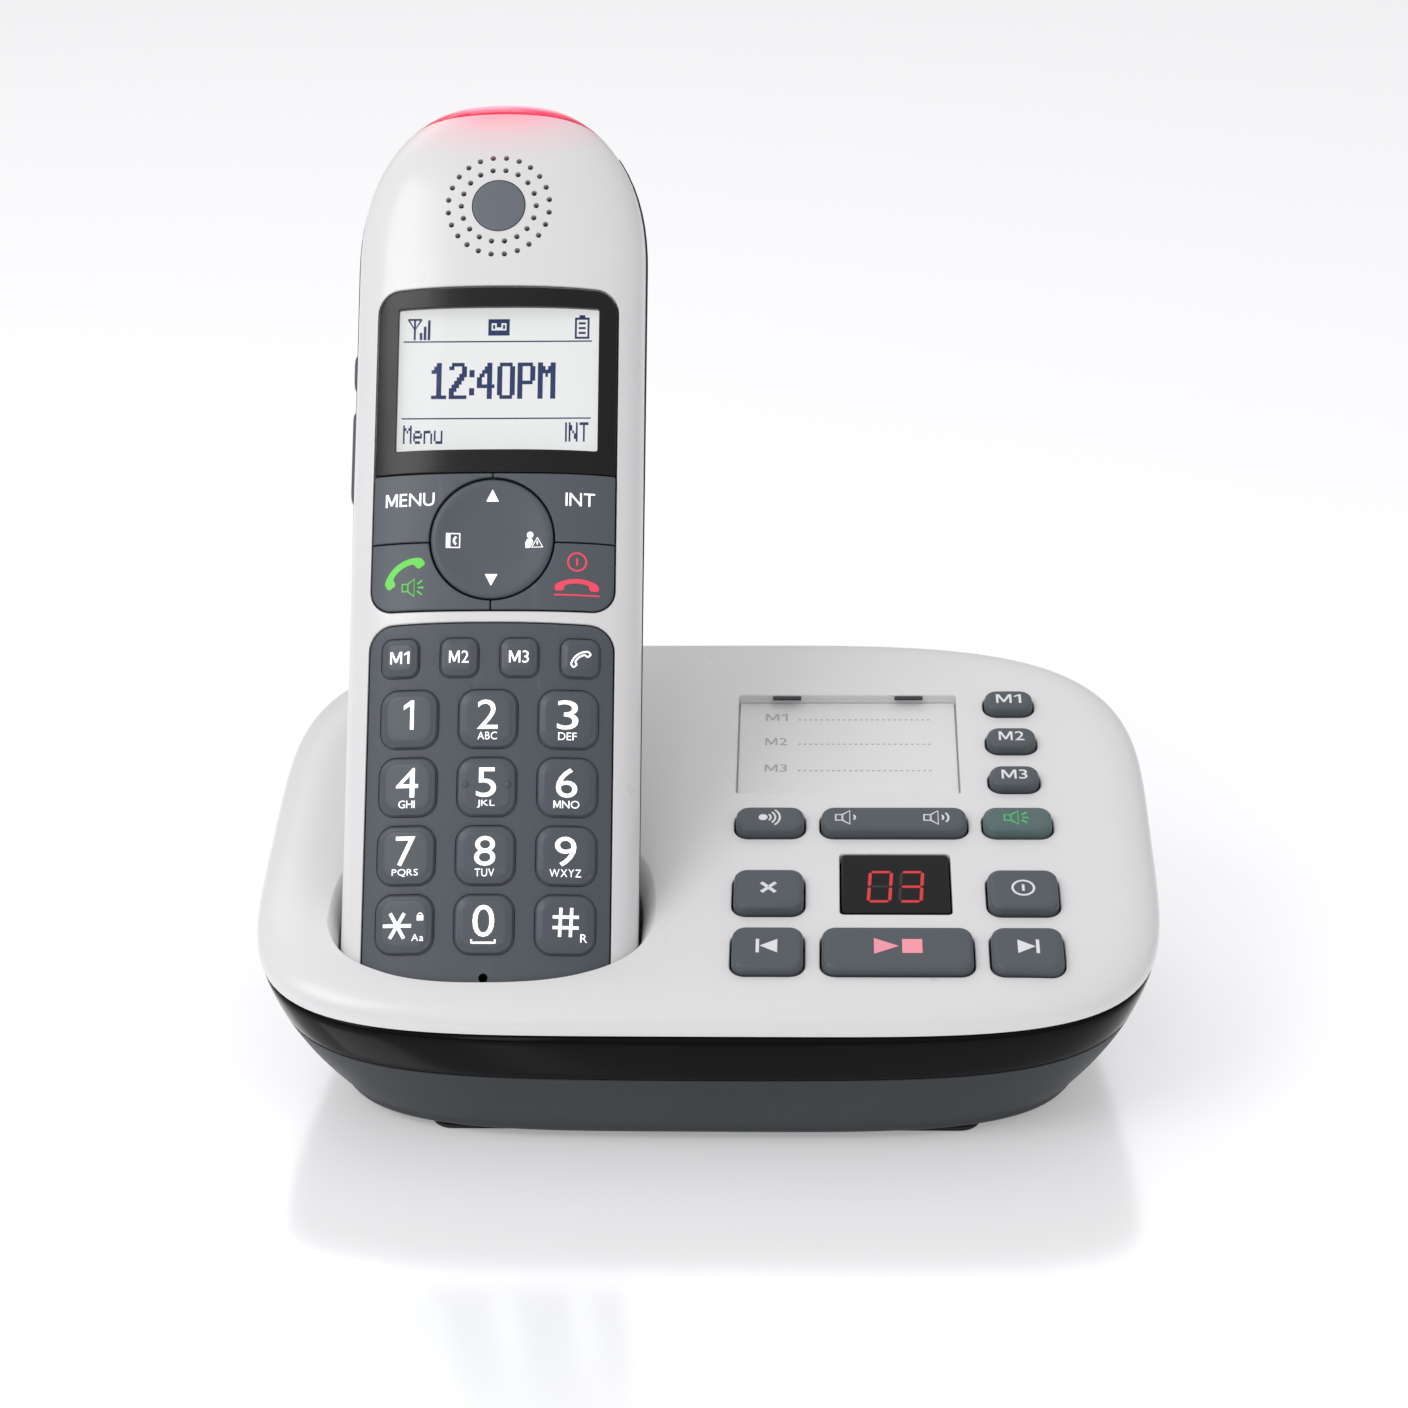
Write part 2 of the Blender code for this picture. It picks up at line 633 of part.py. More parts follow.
def half_shell(name, half, parting, material, handset):
    """One of the handset's two mouldings, closed at the parting plane and then hollowed."""
    push = -1.0 if half == "front" else 1.0
    outer = [meet_parting(section(z, 0.0, half), parting) for z in stations()]
    shell = make_object(name, loft(outer), material, handset)
    past = parting - push * 1.0 * MM
    inner = [meet_parting(section(z, -HANDSET_WALL, half), past) for z in stations(-HANDSET_WALL)]
    combine(shell, make_cutter(f"{name}_hollow", loft(inner), handset), "DIFFERENCE")
    return shell


def meet_parting(points, parting):
    """Moves a half section's two open ends onto the parting plane."""
    points[0] = (points[0][0], parting, points[0][2])
    points[-1] = (points[-1][0], parting, points[-1][2])
    return points


def prism_along_depth(ring, near, far):
    """A prism whose ring is given across and along the handset, between two depths."""
    return loft([[(x, y, z) for x, z in ring] for y in (near, far)])


def opening_ring(bottom, top, corner, grow, top_corner=None):
    """The outline of an opening in the handset's face, grown or shrunk all round."""
    width = 2 * (PANEL_HALF_WIDTH + grow)
    height = top - bottom + 2 * grow
    middle = (top + bottom) / 2
    upper = corner if top_corner is None else top_corner
    ring = rounded_rectangle(width, height, max(corner + grow, 0.3 * MM), 3, upper + grow, ARCH_RISE)
    return [(x, z + middle) for x, z in ring]


def ring_light_prism(gap):
    """The crescent cut out of the handset's top for the ring light, seen along the handset."""
    steps = 8
    width = RING_HALF_WIDTH + gap
    front_edge = []
    for i in range(steps + 1):
        share = -1 + 2 * i / steps
        front_edge.append((width * share, FRONT_DEPTH - RING_DIP * (1 - share**2) - gap))
    back = FRONT_DEPTH + RING_BEHIND + gap
    ring = front_edge + [(width, back), (-width, back)]
    low = HANDSET_TOP - TOP_ARC * 0.55 - gap
    return loft([[(x, y, z) for x, y in ring] for z in (low, HANDSET_TOP + 10 * MM)])


def build_handset_shells(handset):
    front = half_shell("handset_front_shell", "front", FRONT_DEPTH, WHITE, handset)
    rear = half_shell("handset_rear_shell", "rear", FRONT_DEPTH + GAP, DARK_GREY, handset)

    lower = opening_ring(PANEL_BOTTOM, PANEL_TOP, 1.0 * MM, PANEL_GAP, PANEL_CORNER)
    combine(front, make_cutter("panel_opening", prism_along_depth(lower, -5 * MM, 8 * MM), handset), "DIFFERENCE")
    upper = opening_ring(CONTROLS_BOTTOM, WINDOW_TOP, CONTROLS_CORNER, PANEL_GAP)
    combine(front, make_cutter("window_opening", prism_along_depth(upper, -5 * MM, 8 * MM), handset), "DIFFERENCE")
    hole = disc(EARPIECE_DISC_RADIUS + PANEL_GAP, -5 * MM, 4 * MM, 24, (0, EARPIECE_CENTRE), "Y")
    combine(front, make_cutter("earpiece_hole", hole, handset), "DIFFERENCE")
    light_room = make_cutter("ring_light_room", ring_light_prism(GAP / 2), handset)
    combine(front, light_room, "DIFFERENCE")
    combine(rear, light_room, "DIFFERENCE")

    for name, (low, high) in (("boost", BOOST_KEY), ("volume", VOLUME_KEY)):
        ring = side_key_ring(low, high, GAP)
        hole = loft([[(x, y, z) for y, z in ring] for x in (-HANDSET_HALF_WIDTH - 5 * MM, -18 * MM)])
        combine(rear, make_cutter(f"side_{name}_hole", hole, handset), "DIFFERENCE")
    door = rounded_rectangle(2 * (DOOR_HALF_WIDTH + GAP), DOOR_TOP - DOOR_BOTTOM + 2 * GAP, 3 * MM + GAP)
    door = [(x, z + (DOOR_TOP + DOOR_BOTTOM) / 2) for x, z in door]
    hole = prism_along_depth(door, FRONT_DEPTH + 8 * MM, FRONT_DEPTH + REAR_DEPTH + 5 * MM)
    combine(rear, make_cutter("door_hole", hole, handset), "DIFFERENCE")

    ring = make_object("ring_light", loft([section(z) for z in stations()]), RED_LIGHT, handset)
    hollow = loft([section(z, -HANDSET_WALL) for z in stations(-HANDSET_WALL)])
    combine(ring, make_cutter("ring_light_hollow", hollow, handset), "DIFFERENCE")
    combine(ring, make_cutter("ring_light_shape", ring_light_prism(-GAP / 2), handset), "INTERSECT")


def cradle_sweep(wall):
    """The handset's lower end, grown by the cradle's clearance and a wall, and drawn up along its own axis."""
    grow = CRADLE_CLEARANCE + wall
    low = -HANDSET_SUNK - CRADLE_FLOOR_GAP - wall
    rings = []
    for degrees in (0, 30, 60, 90):
        angle = math.radians(degrees)
        inset = BOTTOM_ROUND * (1 - math.sin(angle))
        ring = section(HANDSET_TOP / 2, grow - inset)
        place = low + BOTTOM_ROUND * (1 - math.cos(angle))
        rings.append([(x, y, place) for x, y, _ in ring])
    rings.append([(x, y, 70 * MM) for x, y, _ in section(HANDSET_TOP / 2, grow)])
    return loft(rings)


def cradle_mouth():
    """The mouth's flare: nothing at the handset's face, and widest along its sides and back."""
    tilt = HANDSET_LEAN + DECK_SLOPE
    rings = []
    for level, share in ((-FLARE_DEPTH, 0.0), (-FLARE_DEPTH * 0.35, 0.35), (0.0, 1.0), (4 * MM, 1.8)):
        ring = []
        for x, y, _ in section(HANDSET_TOP / 2, CRADLE_CLEARANCE - 0.3 * MM):
            back = min(max(y, 0.0) / FRONT_DEPTH, 1.0)
            grow = CRADLE_FLARE * share * back**1.5
            away = Vector((x, (y - FRONT_DEPTH) * 0.8, 0)).normalized() * grow
            px, py = x + away.x, y + away.y
            ring.append((px, py, (level + py * math.sin(tilt)) / math.cos(tilt)))
        rings.append(ring)
    return loft(rings)


# ---- the handset's fitted pieces ----


def side_key_ring(low, high, grow):
    ring = rounded_rectangle(SIDE_KEY_WIDTH + 2 * grow, high - low + 2 * grow, 1.8 * MM + grow)
    return [(y + SIDE_KEY_DEPTH, z + (low + high) / 2) for y, z in ring]


def curved_plate(ring, surface, near, far, lines=5):
    """A plate with the given outline whose two faces follow a curved surface, at two depths behind it."""
    plate = bmesh.new()
    face = plate.faces.new([plate.verts.new((x, 0, z)) for x, z in ring])
    reach = max(abs(x) for x, _ in ring)
    for i in range(-lines, lines + 1):
        geometry = plate.verts[:] + plate.edges[:] + plate.faces[:]
        cut = reach * i / (lines + 1)
        bmesh.ops.bisect_plane(plate, geom=geometry, plane_co=(cut, 0, 0), plane_no=(1, 0, 0), dist=1e-7)
    grown = bmesh.ops.extrude_face_region(plate, geom=plate.faces[:])["geom"]
    moved = {item for item in grown if isinstance(item, bmesh.types.BMVert)}
    for vertex in plate.verts:
        vertex.co.y = surface(vertex.co.x) + (far if vertex in moved else near)
    bmesh.ops.triangulate(plate, faces=plate.faces[:])
    return plate


def build_handset_window(handset):
    ring = opening_ring(CONTROLS_TOP + 0.1 * MM, WINDOW_TOP, 0.4 * MM, 0.0, CONTROLS_CORNER)
    plate = curved_plate(ring, face_depth, 0.0, WINDOW_THICKNESS)
    make_object("handset_window", plate, GLOSS_BLACK, handset)
    screen = box((LCD_LEFT, LCD_DEPTH, LCD_BOTTOM), (LCD_RIGHT, LCD_DEPTH + 3 * MM, LCD_TOP))
    make_object("handset_lcd", screen, LCD_WHITE, handset)


def pad_key_list():
    """Name, place and size of each raised key on the handset's lower panel."""
    keys = []
    for i, name in enumerate(("m1", "m2", "m3", "line")):
        x = (i - 1.5) * MEMORY_PAD_PITCH
        keys.append((f"handset_key_{name}", x, MEMORY_PAD_ROW, MEMORY_PAD_WIDTH, MEMORY_PAD_HEIGHT, 1.7 * MM))
    for i, name in enumerate(("1", "2", "3", "4", "5", "6", "7", "8", "9", "star", "0", "hash")):
        x = (i % 3 - 1) * DIGIT_COLUMN_PITCH
        z = DIGIT_TOP_ROW - (i // 3) * DIGIT_ROW_PITCH
        keys.append((f"handset_key_{name}", x, z, DIGIT_KEY_SIZE, DIGIT_KEY_SIZE, DIGIT_KEY_CORNER))
    return keys


def build_keypad(handset):
    ring = opening_ring(PANEL_BOTTOM, PANEL_TOP, 1.0 * MM, 0.0, PANEL_CORNER)
    panel = make_object("keypad_panel", curved_plate(ring, face_depth, 0.1 * MM, PANEL_THICKNESS), PANEL_GREY, handset)
    for name, x, z, width, height, corner in pad_key_list():
        ring = rounded_rectangle(width + 2 * GAP, height + 2 * GAP, corner + GAP)
        hole = prism_along_depth(ring, -5 * MM, 12 * MM)
        combine(panel, make_cutter(f"hole_{name}", hole, handset, (x, 0, z)), "DIFFERENCE")
        build_pad_key(name, x, z, width, height, corner, handset)


def build_pad_key(name, x, z, width, height, corner, handset):
    """A key with soft shoulders whose top follows the curve of the face."""
    soft = 0.9 * MM
    full = rounded_rectangle(width, height, corner)
    crown = rounded_rectangle(width - 2 * soft, height - 2 * soft, corner - soft * 0.6)
    rings = [
        [(px, PAD_KEY_FLOOR, pz) for px, pz in full],
        [(px, face_depth(x + px) - PAD_KEY_RISE + 0.6 * MM, pz) for px, pz in full],
        [(px, face_depth(x + px) - PAD_KEY_RISE, pz) for px, pz in crown],
    ]
    make_object(name, loft(rings), KEY_GREY, handset, (x, 0, z))


def control_key_ring(side, upper):
    """One quarter of the control block, with a round notch for the navigation key."""
    gap = PANEL_GAP / 2
    edge = PANEL_HALF_WIDTH
    notch = NAVIGATION_RADIUS + PANEL_GAP * 1.4
    level = CONTROLS_SPLIT + (gap if upper else -gap)
    far = CONTROLS_TOP - gap if upper else CONTROLS_BOTTOM
    start = math.acos(gap / notch)
    end = math.asin((level - NAVIGATION_CENTRE) / notch)
    if not upper:
        start = -start
    points = [(gap, far)]
    if upper:
        points.append((edge, far))
    else:
        corner = (edge - CONTROLS_CORNER, far + CONTROLS_CORNER)
        for step in range(5):
            angle = math.radians(-90 + 90 * step / 4)
            points.append(
                (corner[0] + CONTROLS_CORNER * math.cos(angle), corner[1] + CONTROLS_CORNER * math.sin(angle))
            )
    points.append((edge, level))
    steps = 8
    for step in range(steps + 1):
        angle = end + (start - end) * step / steps
        points.append((notch * math.cos(angle), NAVIGATION_CENTRE + notch * math.sin(angle)))
    return [(side * x, z) for x, z in points]


def build_control_keys(handset):
    for name, side, upper in (("menu", -1, True), ("intercom", 1, True), ("talk", -1, False), ("end", 1, False)):
        ring = control_key_ring(side, upper)
        key = curved_plate(ring, face_depth, -CONTROLS_RISE, 3.4 * MM, 3)
        make_object(f"handset_key_{name}", key, KEY_GREY, handset)

    radius = NAVIGATION_RADIUS
    place = (0, 0, NAVIGATION_CENTRE)
    rings = []
    for r, y in ((radius, 5.0 * MM), (radius, 0.2 * MM), (radius - 0.6 * MM, -0.2 * MM), (radius * 0.6, 0.2 * MM)):
        turn = [2 * math.pi * i / 32 for i in range(32)]
        rings.append([(r * math.cos(a), y, r * math.sin(a)) for a in turn])
    make_object("navigation_key", loft(rings), KEY_GREY, handset, place)
    pivot = disc(NAVIGATION_PIVOT_RADIUS, 5.0 * MM + GAP, BOARD_DEPTH - 0.8 * MM, 16, (0, 0), "Y")
    make_object("navigation_key_pivot", pivot, BLACK, handset, place)


def build_side_keys(handset):
    surface = -HANDSET_HALF_WIDTH - SIDE_KEY_PROUD
    for name, (low, high) in (("boost", BOOST_KEY), ("volume", VOLUME_KEY)):
        middle = (low + high) / 2
        place = (-HANDSET_HALF_WIDTH, SIDE_KEY_DEPTH, middle)
        rings = []
        for x, shrink in ((-HANDSET_HALF_WIDTH + 4.5 * MM, 0.0), (surface + 0.5 * MM, 0.0), (surface, 0.5 * MM)):
            ring = side_key_ring(low + shrink, high - shrink, 0.0)
            squeeze = (SIDE_KEY_WIDTH - 2 * shrink) / SIDE_KEY_WIDTH
            rings.append(
                [(x - place[0], (y - SIDE_KEY_DEPTH) * squeeze, z - middle) for y, z in ring]
            )
        make_object(f"side_key_{name}", loft(rings), KEY_GREY, handset, place)


def build_handset_inner_pieces(handset):
    board = box((-19 * MM, BOARD_DEPTH, 2 * MM), (19 * MM, BOARD_DEPTH + BOARD_THICKNESS, 138 * MM))
    make_object("handset_circuit_board", board, BOARD_GREEN, handset)

    back = HANDSET_WALL + EARPIECE_SETBACK
    place = (0, 0, EARPIECE_CENTRE)
    capsule = disc(EARPIECE_RADIUS, back, back + 3.0 * MM, 32, (0, 0), "Y")
    earpiece = make_object("earpiece", capsule, KEY_GREY, handset, place)
    boss = disc(EARPIECE_DISC_RADIUS, -0.1 * MM, back + 1 * MM, 32, (0, 0), "Y")
    combine(earpiece, make_cutter("earpiece_boss", boss, handset, place), "UNION")

    ring = rounded_rectangle(2 * DOOR_HALF_WIDTH, DOOR_TOP - DOOR_BOTTOM, 3 * MM)
    ring = [(x, z + (DOOR_TOP + DOOR_BOTTOM) / 2) for x, z in ring]
    make_object("battery_door", curved_plate(ring, back_depth, -1.8 * MM, 0.0), DARK_GREY, handset)

    middle = (DOOR_TOP + DOOR_BOTTOM) / 2
    depth = BOARD_DEPTH + BOARD_THICKNESS + GAP + CELL_RADIUS + 1.5 * MM
    rings = []
    for z in (middle - CELL_LENGTH / 2, middle + CELL_LENGTH / 2):
        ring = rounded_rectangle(4 * CELL_RADIUS, 2 * CELL_RADIUS, CELL_RADIUS - 0.1 * MM, 5)
        rings.append([(x, y + depth, z) for x, y in ring])
    make_object("battery_pack", loft(rings), CELL_BLUE, handset)


def centre_on_origin(stand):
    """Sets the stand's place so that the whole object's box is centred on the origin, front to back."""
    bpy.context.view_layer.update()
    reach = []
    for piece in bpy.context.scene.objects:
        if piece.type == "MESH" and not piece.hide_render and not piece.modifiers:
            reach += [(piece.matrix_world @ vertex.co).y for vertex in piece.data.vertices]
    for name in ("base_top_shell", "handset_front_shell", "handset_rear_shell"):
        piece = bpy.data.objects[name]
        reach += [(piece.matrix_world @ vertex.co).y for vertex in piece.data.vertices]
    stand.location.y = -round((min(reach) + max(reach)) / 2, 4)


clear_scene()

WHITE = plastic("white_abs", (232, 231, 231), 0.32)
GLOSS_BLACK = plastic("gloss_black", (8, 8, 9), 0.06)
DARK_GREY = plastic("dark_grey_abs", (56, 62, 68), 0.5)
KEY_GREY = plastic("key_grey", (84, 92, 99), 0.45)
PANEL_GREY = plastic("panel_grey", (78, 84, 92), 0.5)
BLACK = plastic("black_nylon", (22, 22, 24), 0.5)
RUBBER = plastic("rubber", (30, 30, 32), 0.8)
CLEAR = plastic("clear_acrylic", (236, 238, 238), 0.1)
PAPER = plastic("paper", (231, 229, 230), 0.8)
LCD_WHITE = plastic("lcd_ground", (232, 233, 232), 0.4)
RED_LIGHT = plastic("red_light_guide", (235, 90, 110), 0.2)
BOARD_GREEN = plastic("circuit_board", (30, 88, 54), 0.5)
STEEL = plastic("steel", (180, 182, 184), 0.3, 1.0)
CELL_BLUE = plastic("cell_wrap", (52, 78, 120), 0.4)

STAND = frame("stand")
DECK = frame("deck", STAND, (0, 0, DECK_HEIGHT), DECK_SLOPE)
RIM_Z = DECK_HEIGHT + HANDSET_RIM_Y * math.tan(DECK_SLOPE)
HANDSET = frame("handset", STAND, (HANDSET_X, HANDSET_RIM_Y, RIM_Z), -HANDSET_LEAN)

build_base_top_shell(STAND, DECK, HANDSET)
build_base_trim_band(STAND)
build_base_bottom_shell(STAND)
build_feet(STAND)
build_base_inner_pieces(STAND, DECK)
build_jacks(STAND)
build_contacts(HANDSET)
build_base_keys(DECK)
build_handset_shells(HANDSET)
build_handset_window(HANDSET)
build_keypad(HANDSET)
build_control_keys(HANDSET)
build_side_keys(HANDSET)
build_handset_inner_pieces(HANDSET)
centre_on_origin(STAND)
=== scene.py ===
import math

import bmesh
import bpy
from mathutils import Matrix, Vector
from mathutils.bvhtree import BVHTree


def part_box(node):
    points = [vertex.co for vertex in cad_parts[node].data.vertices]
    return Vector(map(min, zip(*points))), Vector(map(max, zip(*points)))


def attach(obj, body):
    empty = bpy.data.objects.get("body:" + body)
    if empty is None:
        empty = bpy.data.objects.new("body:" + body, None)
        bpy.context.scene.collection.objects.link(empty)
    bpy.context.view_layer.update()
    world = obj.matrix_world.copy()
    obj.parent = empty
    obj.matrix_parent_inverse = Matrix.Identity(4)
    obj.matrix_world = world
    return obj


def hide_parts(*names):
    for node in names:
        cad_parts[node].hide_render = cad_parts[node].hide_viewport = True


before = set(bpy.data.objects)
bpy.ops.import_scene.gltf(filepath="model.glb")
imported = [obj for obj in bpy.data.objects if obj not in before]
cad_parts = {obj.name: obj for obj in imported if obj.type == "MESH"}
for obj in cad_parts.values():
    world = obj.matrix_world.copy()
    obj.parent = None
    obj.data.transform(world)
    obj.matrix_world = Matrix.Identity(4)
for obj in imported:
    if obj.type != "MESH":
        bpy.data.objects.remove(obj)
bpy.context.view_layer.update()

# ---- The table and the studio ----
# A cordless phone stands in its answering-machine base on a smooth pale table with a slight polish.
# A large soft light hangs to the left in front, a tall narrow one stands in front, and a weak one
# fills from behind. The room is a pale gradient, brighter overhead.

MM = 0.001
FRONT_FOOT_Y = -35 * MM
STAND_Y = (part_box("foot_front")[0].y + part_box("foot_front")[1].y) / 2 - FRONT_FOOT_Y
CAMERA_PLACE = (0.022, STAND_Y - 0.5043, 0.2818)
CAMERA_PAN, CAMERA_DOWN, CAMERA_ROLL = (math.radians(a) for a in (2.559, 22.985, -1.029))

scene = bpy.context.scene
scene.view_settings.view_transform = "Standard"

camera = bpy.data.objects.new("camera", bpy.data.cameras.new("camera"))
camera.data.sensor_width = 36
camera.data.lens = 75.83
turn = Matrix.Rotation(CAMERA_PAN, 4, "Z") @ Matrix.Rotation(math.radians(90) - CAMERA_DOWN, 4, "X")
camera.matrix_world = Matrix.Translation(CAMERA_PLACE) @ turn @ Matrix.Rotation(CAMERA_ROLL, 4, "Z")
scene.collection.objects.link(camera)
scene.camera = camera


def soft_light(name, place, aim, size, energy):
    """A large rectangular lamp that is turned towards a point."""
    lamp = bpy.data.lights.new(name, "AREA")
    lamp.shape = "RECTANGLE"
    lamp.size, lamp.size_y = size
    lamp.energy = energy
    holder = bpy.data.objects.new(name, lamp)
    holder.location = place
    holder.rotation_euler = (Vector(aim) - Vector(place)).to_track_quat("-Z", "Y").to_euler()
    scene.collection.objects.link(holder)


def add_node(tree, kind, inputs=(), **settings):
    """Adds a node, sets it up, and gives its inputs their values or what feeds them."""
    made = tree.nodes.new("ShaderNode" + kind)
    for name, value in settings.items():
        setattr(made, name, value)
    for socket, value in dict(inputs).items():
        if isinstance(value, bpy.types.NodeSocket):
            tree.links.new(value, made.inputs[socket])
        else:
            made.inputs[socket].default_value = value
    return made


soft_light("key_light", (-0.75, -0.55, 0.95), (0, 0, 0.05), (0.7, 0.5), 4.6)
soft_light("window_light", (-0.25, -1.2, 0.75), (-0.04, 0, 0.1), (0.12, 0.7), 0.5)
soft_light("back_light", (-0.5, 0.8, 1.0), (0, 0, 0.05), (0.9, 0.5), 1.6)

room = bpy.data.worlds.new("room")
room.use_nodes = True
air = room.node_tree.nodes["Background"]
air.inputs["Color"].default_value = (0.98, 0.985, 1.0, 1)
direction = add_node(room.node_tree, "TexCoord")
height = add_node(room.node_tree, "SeparateXYZ", {"Vector": direction.outputs["Generated"]})
limits = {"From Min": -0.1, "From Max": 0.9, "To Min": 0.33, "To Max": 0.86}
ceiling = add_node(room.node_tree, "MapRange", {"Value": height.outputs["Z"], **limits})
room.node_tree.links.new(ceiling.outputs["Result"], air.inputs["Strength"])
backdrop = add_node(room.node_tree, "Background", {"Color": (0.96, 0.965, 0.97, 1)})
straight = add_node(room.node_tree, "LightPath")
mixed = {0: straight.outputs["Is Camera Ray"], 1: air.outputs["Background"], 2: backdrop.outputs["Background"]}
shown = add_node(room.node_tree, "MixShader", mixed)
room.node_tree.links.new(shown.outputs["Shader"], room.node_tree.nodes["World Output"].inputs["Surface"])
scene.world = room

bpy.ops.object.select_all(action="DESELECT")
bpy.ops.mesh.primitive_plane_add(size=12)
table = bpy.context.object
table.name = "table"
table_paint = bpy.data.materials.new("table_paint")
table_paint.use_nodes = True
paint = table_paint.node_tree.nodes["Principled BSDF"].inputs
paint["Base Color"].default_value = (0.93, 0.93, 0.94, 1)
paint["Roughness"].default_value = 0.16
paint["Metallic"].default_value = 0.35
paint["Emission Color"].default_value = (1, 1, 1, 1)
paint["Emission Strength"].default_value = 0.3
table.data.materials.append(table_paint)

# ---- The base's bottom shell ----
# A deep tub moulded in dark grey ABS with a fine spark-eroded grain. It narrows from the deck to its
# footprint, and its wall has cut-outs for the two jacks and slots for the loudspeaker.

DECK_SLOPE = math.radians(15.3)
DECK_HEIGHT = 43.1 * MM
BASE_HALF_WIDTH = 83.1 * MM
DECK_WIDEST = 3.1 * MM
DECK_FRONT = 54.2 * MM
DECK_REAR = 56.7 * MM
FRONT_SQUARENESS = 4.8
REAR_SQUARENESS = 3.8
EDGE_ROLL = 9.0 * MM
EDGE_DROP = 4.5 * MM
EDGE_LIP = 1.0 * MM
SHELL_WALL = 2.2 * MM
BAND_HEIGHT = 8.6 * MM
FOOTPRINT_HALF_WIDTH = 70.0 * MM
FOOTPRINT_WIDEST = 4.0 * MM
FOOTPRINT_FRONT = 47.0 * MM
FOOTPRINT_REAR = 43.0 * MM
FOOTPRINT_SQUARENESS = 4.0
BOTTOM_EDGE_RADIUS = 2.0 * MM
SIDE_BULGE = 2.0 * MM
UNDERSIDE = 1.3 * MM
GAP = 0.3 * MM
JACK_FLOOR = 5.0 * MM
JACK_WIDTH = 12.6 * MM
JACK_HEIGHT = 12.0 * MM
JACK_FACE_Y = 49.5 * MM
SPEAKER_PLACE = (34.0 * MM, 2.0 * MM)
DARK_SHELL = (0.014, 0.018, 0.023)

STAND = Matrix.Translation((0, STAND_Y, 0))
DECK = STAND @ Matrix.Translation((0, 0, DECK_HEIGHT)) @ Matrix.Rotation(DECK_SLOPE, 4, "X")


def signed_power(value, exponent):
    """A power that keeps the sign, for rounded-square outlines."""
    return math.copysign(abs(value) ** exponent, value)


def outline_point(angle, half_width, front, rear, front_squareness, rear_squareness, widest):
    """A point on an outline between an oval and a rectangle, whose front and rear halves may differ."""
    reach, squareness = (rear, rear_squareness) if math.sin(angle) > 0 else (front, front_squareness)
    x = half_width * signed_power(math.cos(angle), 2 / squareness)
    return (x, widest + reach * signed_power(math.sin(angle), 2 / squareness))


def even_turns(count, point_at):
    """Angles whose points lie evenly spaced round an outline."""
    fine = [2 * math.pi * i / 7200 for i in range(7201)]
    points = [Vector(point_at(angle)) for angle in fine]
    walked = [0.0]
    for a, b in zip(points, points[1:]):
        walked.append(walked[-1] + (b - a).length)
    turns, at = [], 0
    for i in range(count):
        while walked[at + 1] < walked[-1] * i / count:
            at += 1
        share = (walked[-1] * i / count - walked[at]) / max(walked[at + 1] - walked[at], 1e-12)
        turns.append(fine[at] + share * (fine[1] - fine[0]))
    return turns


def deck_outline(angle, inset):
    """The deck's edge, seen square to the deck."""
    reaches = [reach - inset for reach in (BASE_HALF_WIDTH, DECK_FRONT, DECK_REAR)]
    return outline_point(angle, *reaches, FRONT_SQUARENESS, REAR_SQUARENESS, DECK_WIDEST)


def footprint(angle, inset):
    """The outline that the base stands on."""
    reaches = [reach - inset for reach in (FOOTPRINT_HALF_WIDTH, FOOTPRINT_FRONT, FOOTPRINT_REAR)]
    return outline_point(angle, *reaches, FOOTPRINT_SQUARENESS, FOOTPRINT_SQUARENESS, FOOTPRINT_WIDEST)


BASE_TURNS = even_turns(224, lambda angle: deck_outline(angle, 0.0))


def deck_ring(inset, level):
    return [(*deck_outline(angle, inset), level) for angle in BASE_TURNS]


def footprint_ring(inset, height):
    return [(*footprint(angle, inset), height) for angle in BASE_TURNS]


def deck_to_stand(x, y, z):
    """A place on the deck, told from the stand's own level frame."""
    c, s = math.cos(DECK_SLOPE), math.sin(DECK_SLOPE)
    return Vector((x, y * c - z * s, DECK_HEIGHT + y * s + z * c))


def deck_level(point):
    """How far a place in the stand's frame lies above the deck."""
    return (point.z - DECK_HEIGHT) * math.cos(DECK_SLOPE) - point.y * math.sin(DECK_SLOPE)


def flank_ring(inset, level, down=0.0):
    """A ring round the base's flank, parallel to the deck or part of the way from there to the footprint."""
    ring = []
    for angle in BASE_TURNS:
        top = deck_to_stand(*deck_outline(angle, inset), -(EDGE_DROP + EDGE_LIP))
        foot = Vector((*footprint(angle, inset), UNDERSIDE + BOTTOM_EDGE_RADIUS))
        share = (deck_level(top) - level) / (deck_level(top) - deck_level(foot))
        share += (1 - share) * down
        middle = top.lerp(foot, share)
        ring.append(middle + Vector((middle.x, middle.y, 0)).normalized() * 4 * share * (1 - share) * SIDE_BULGE)
    return ring


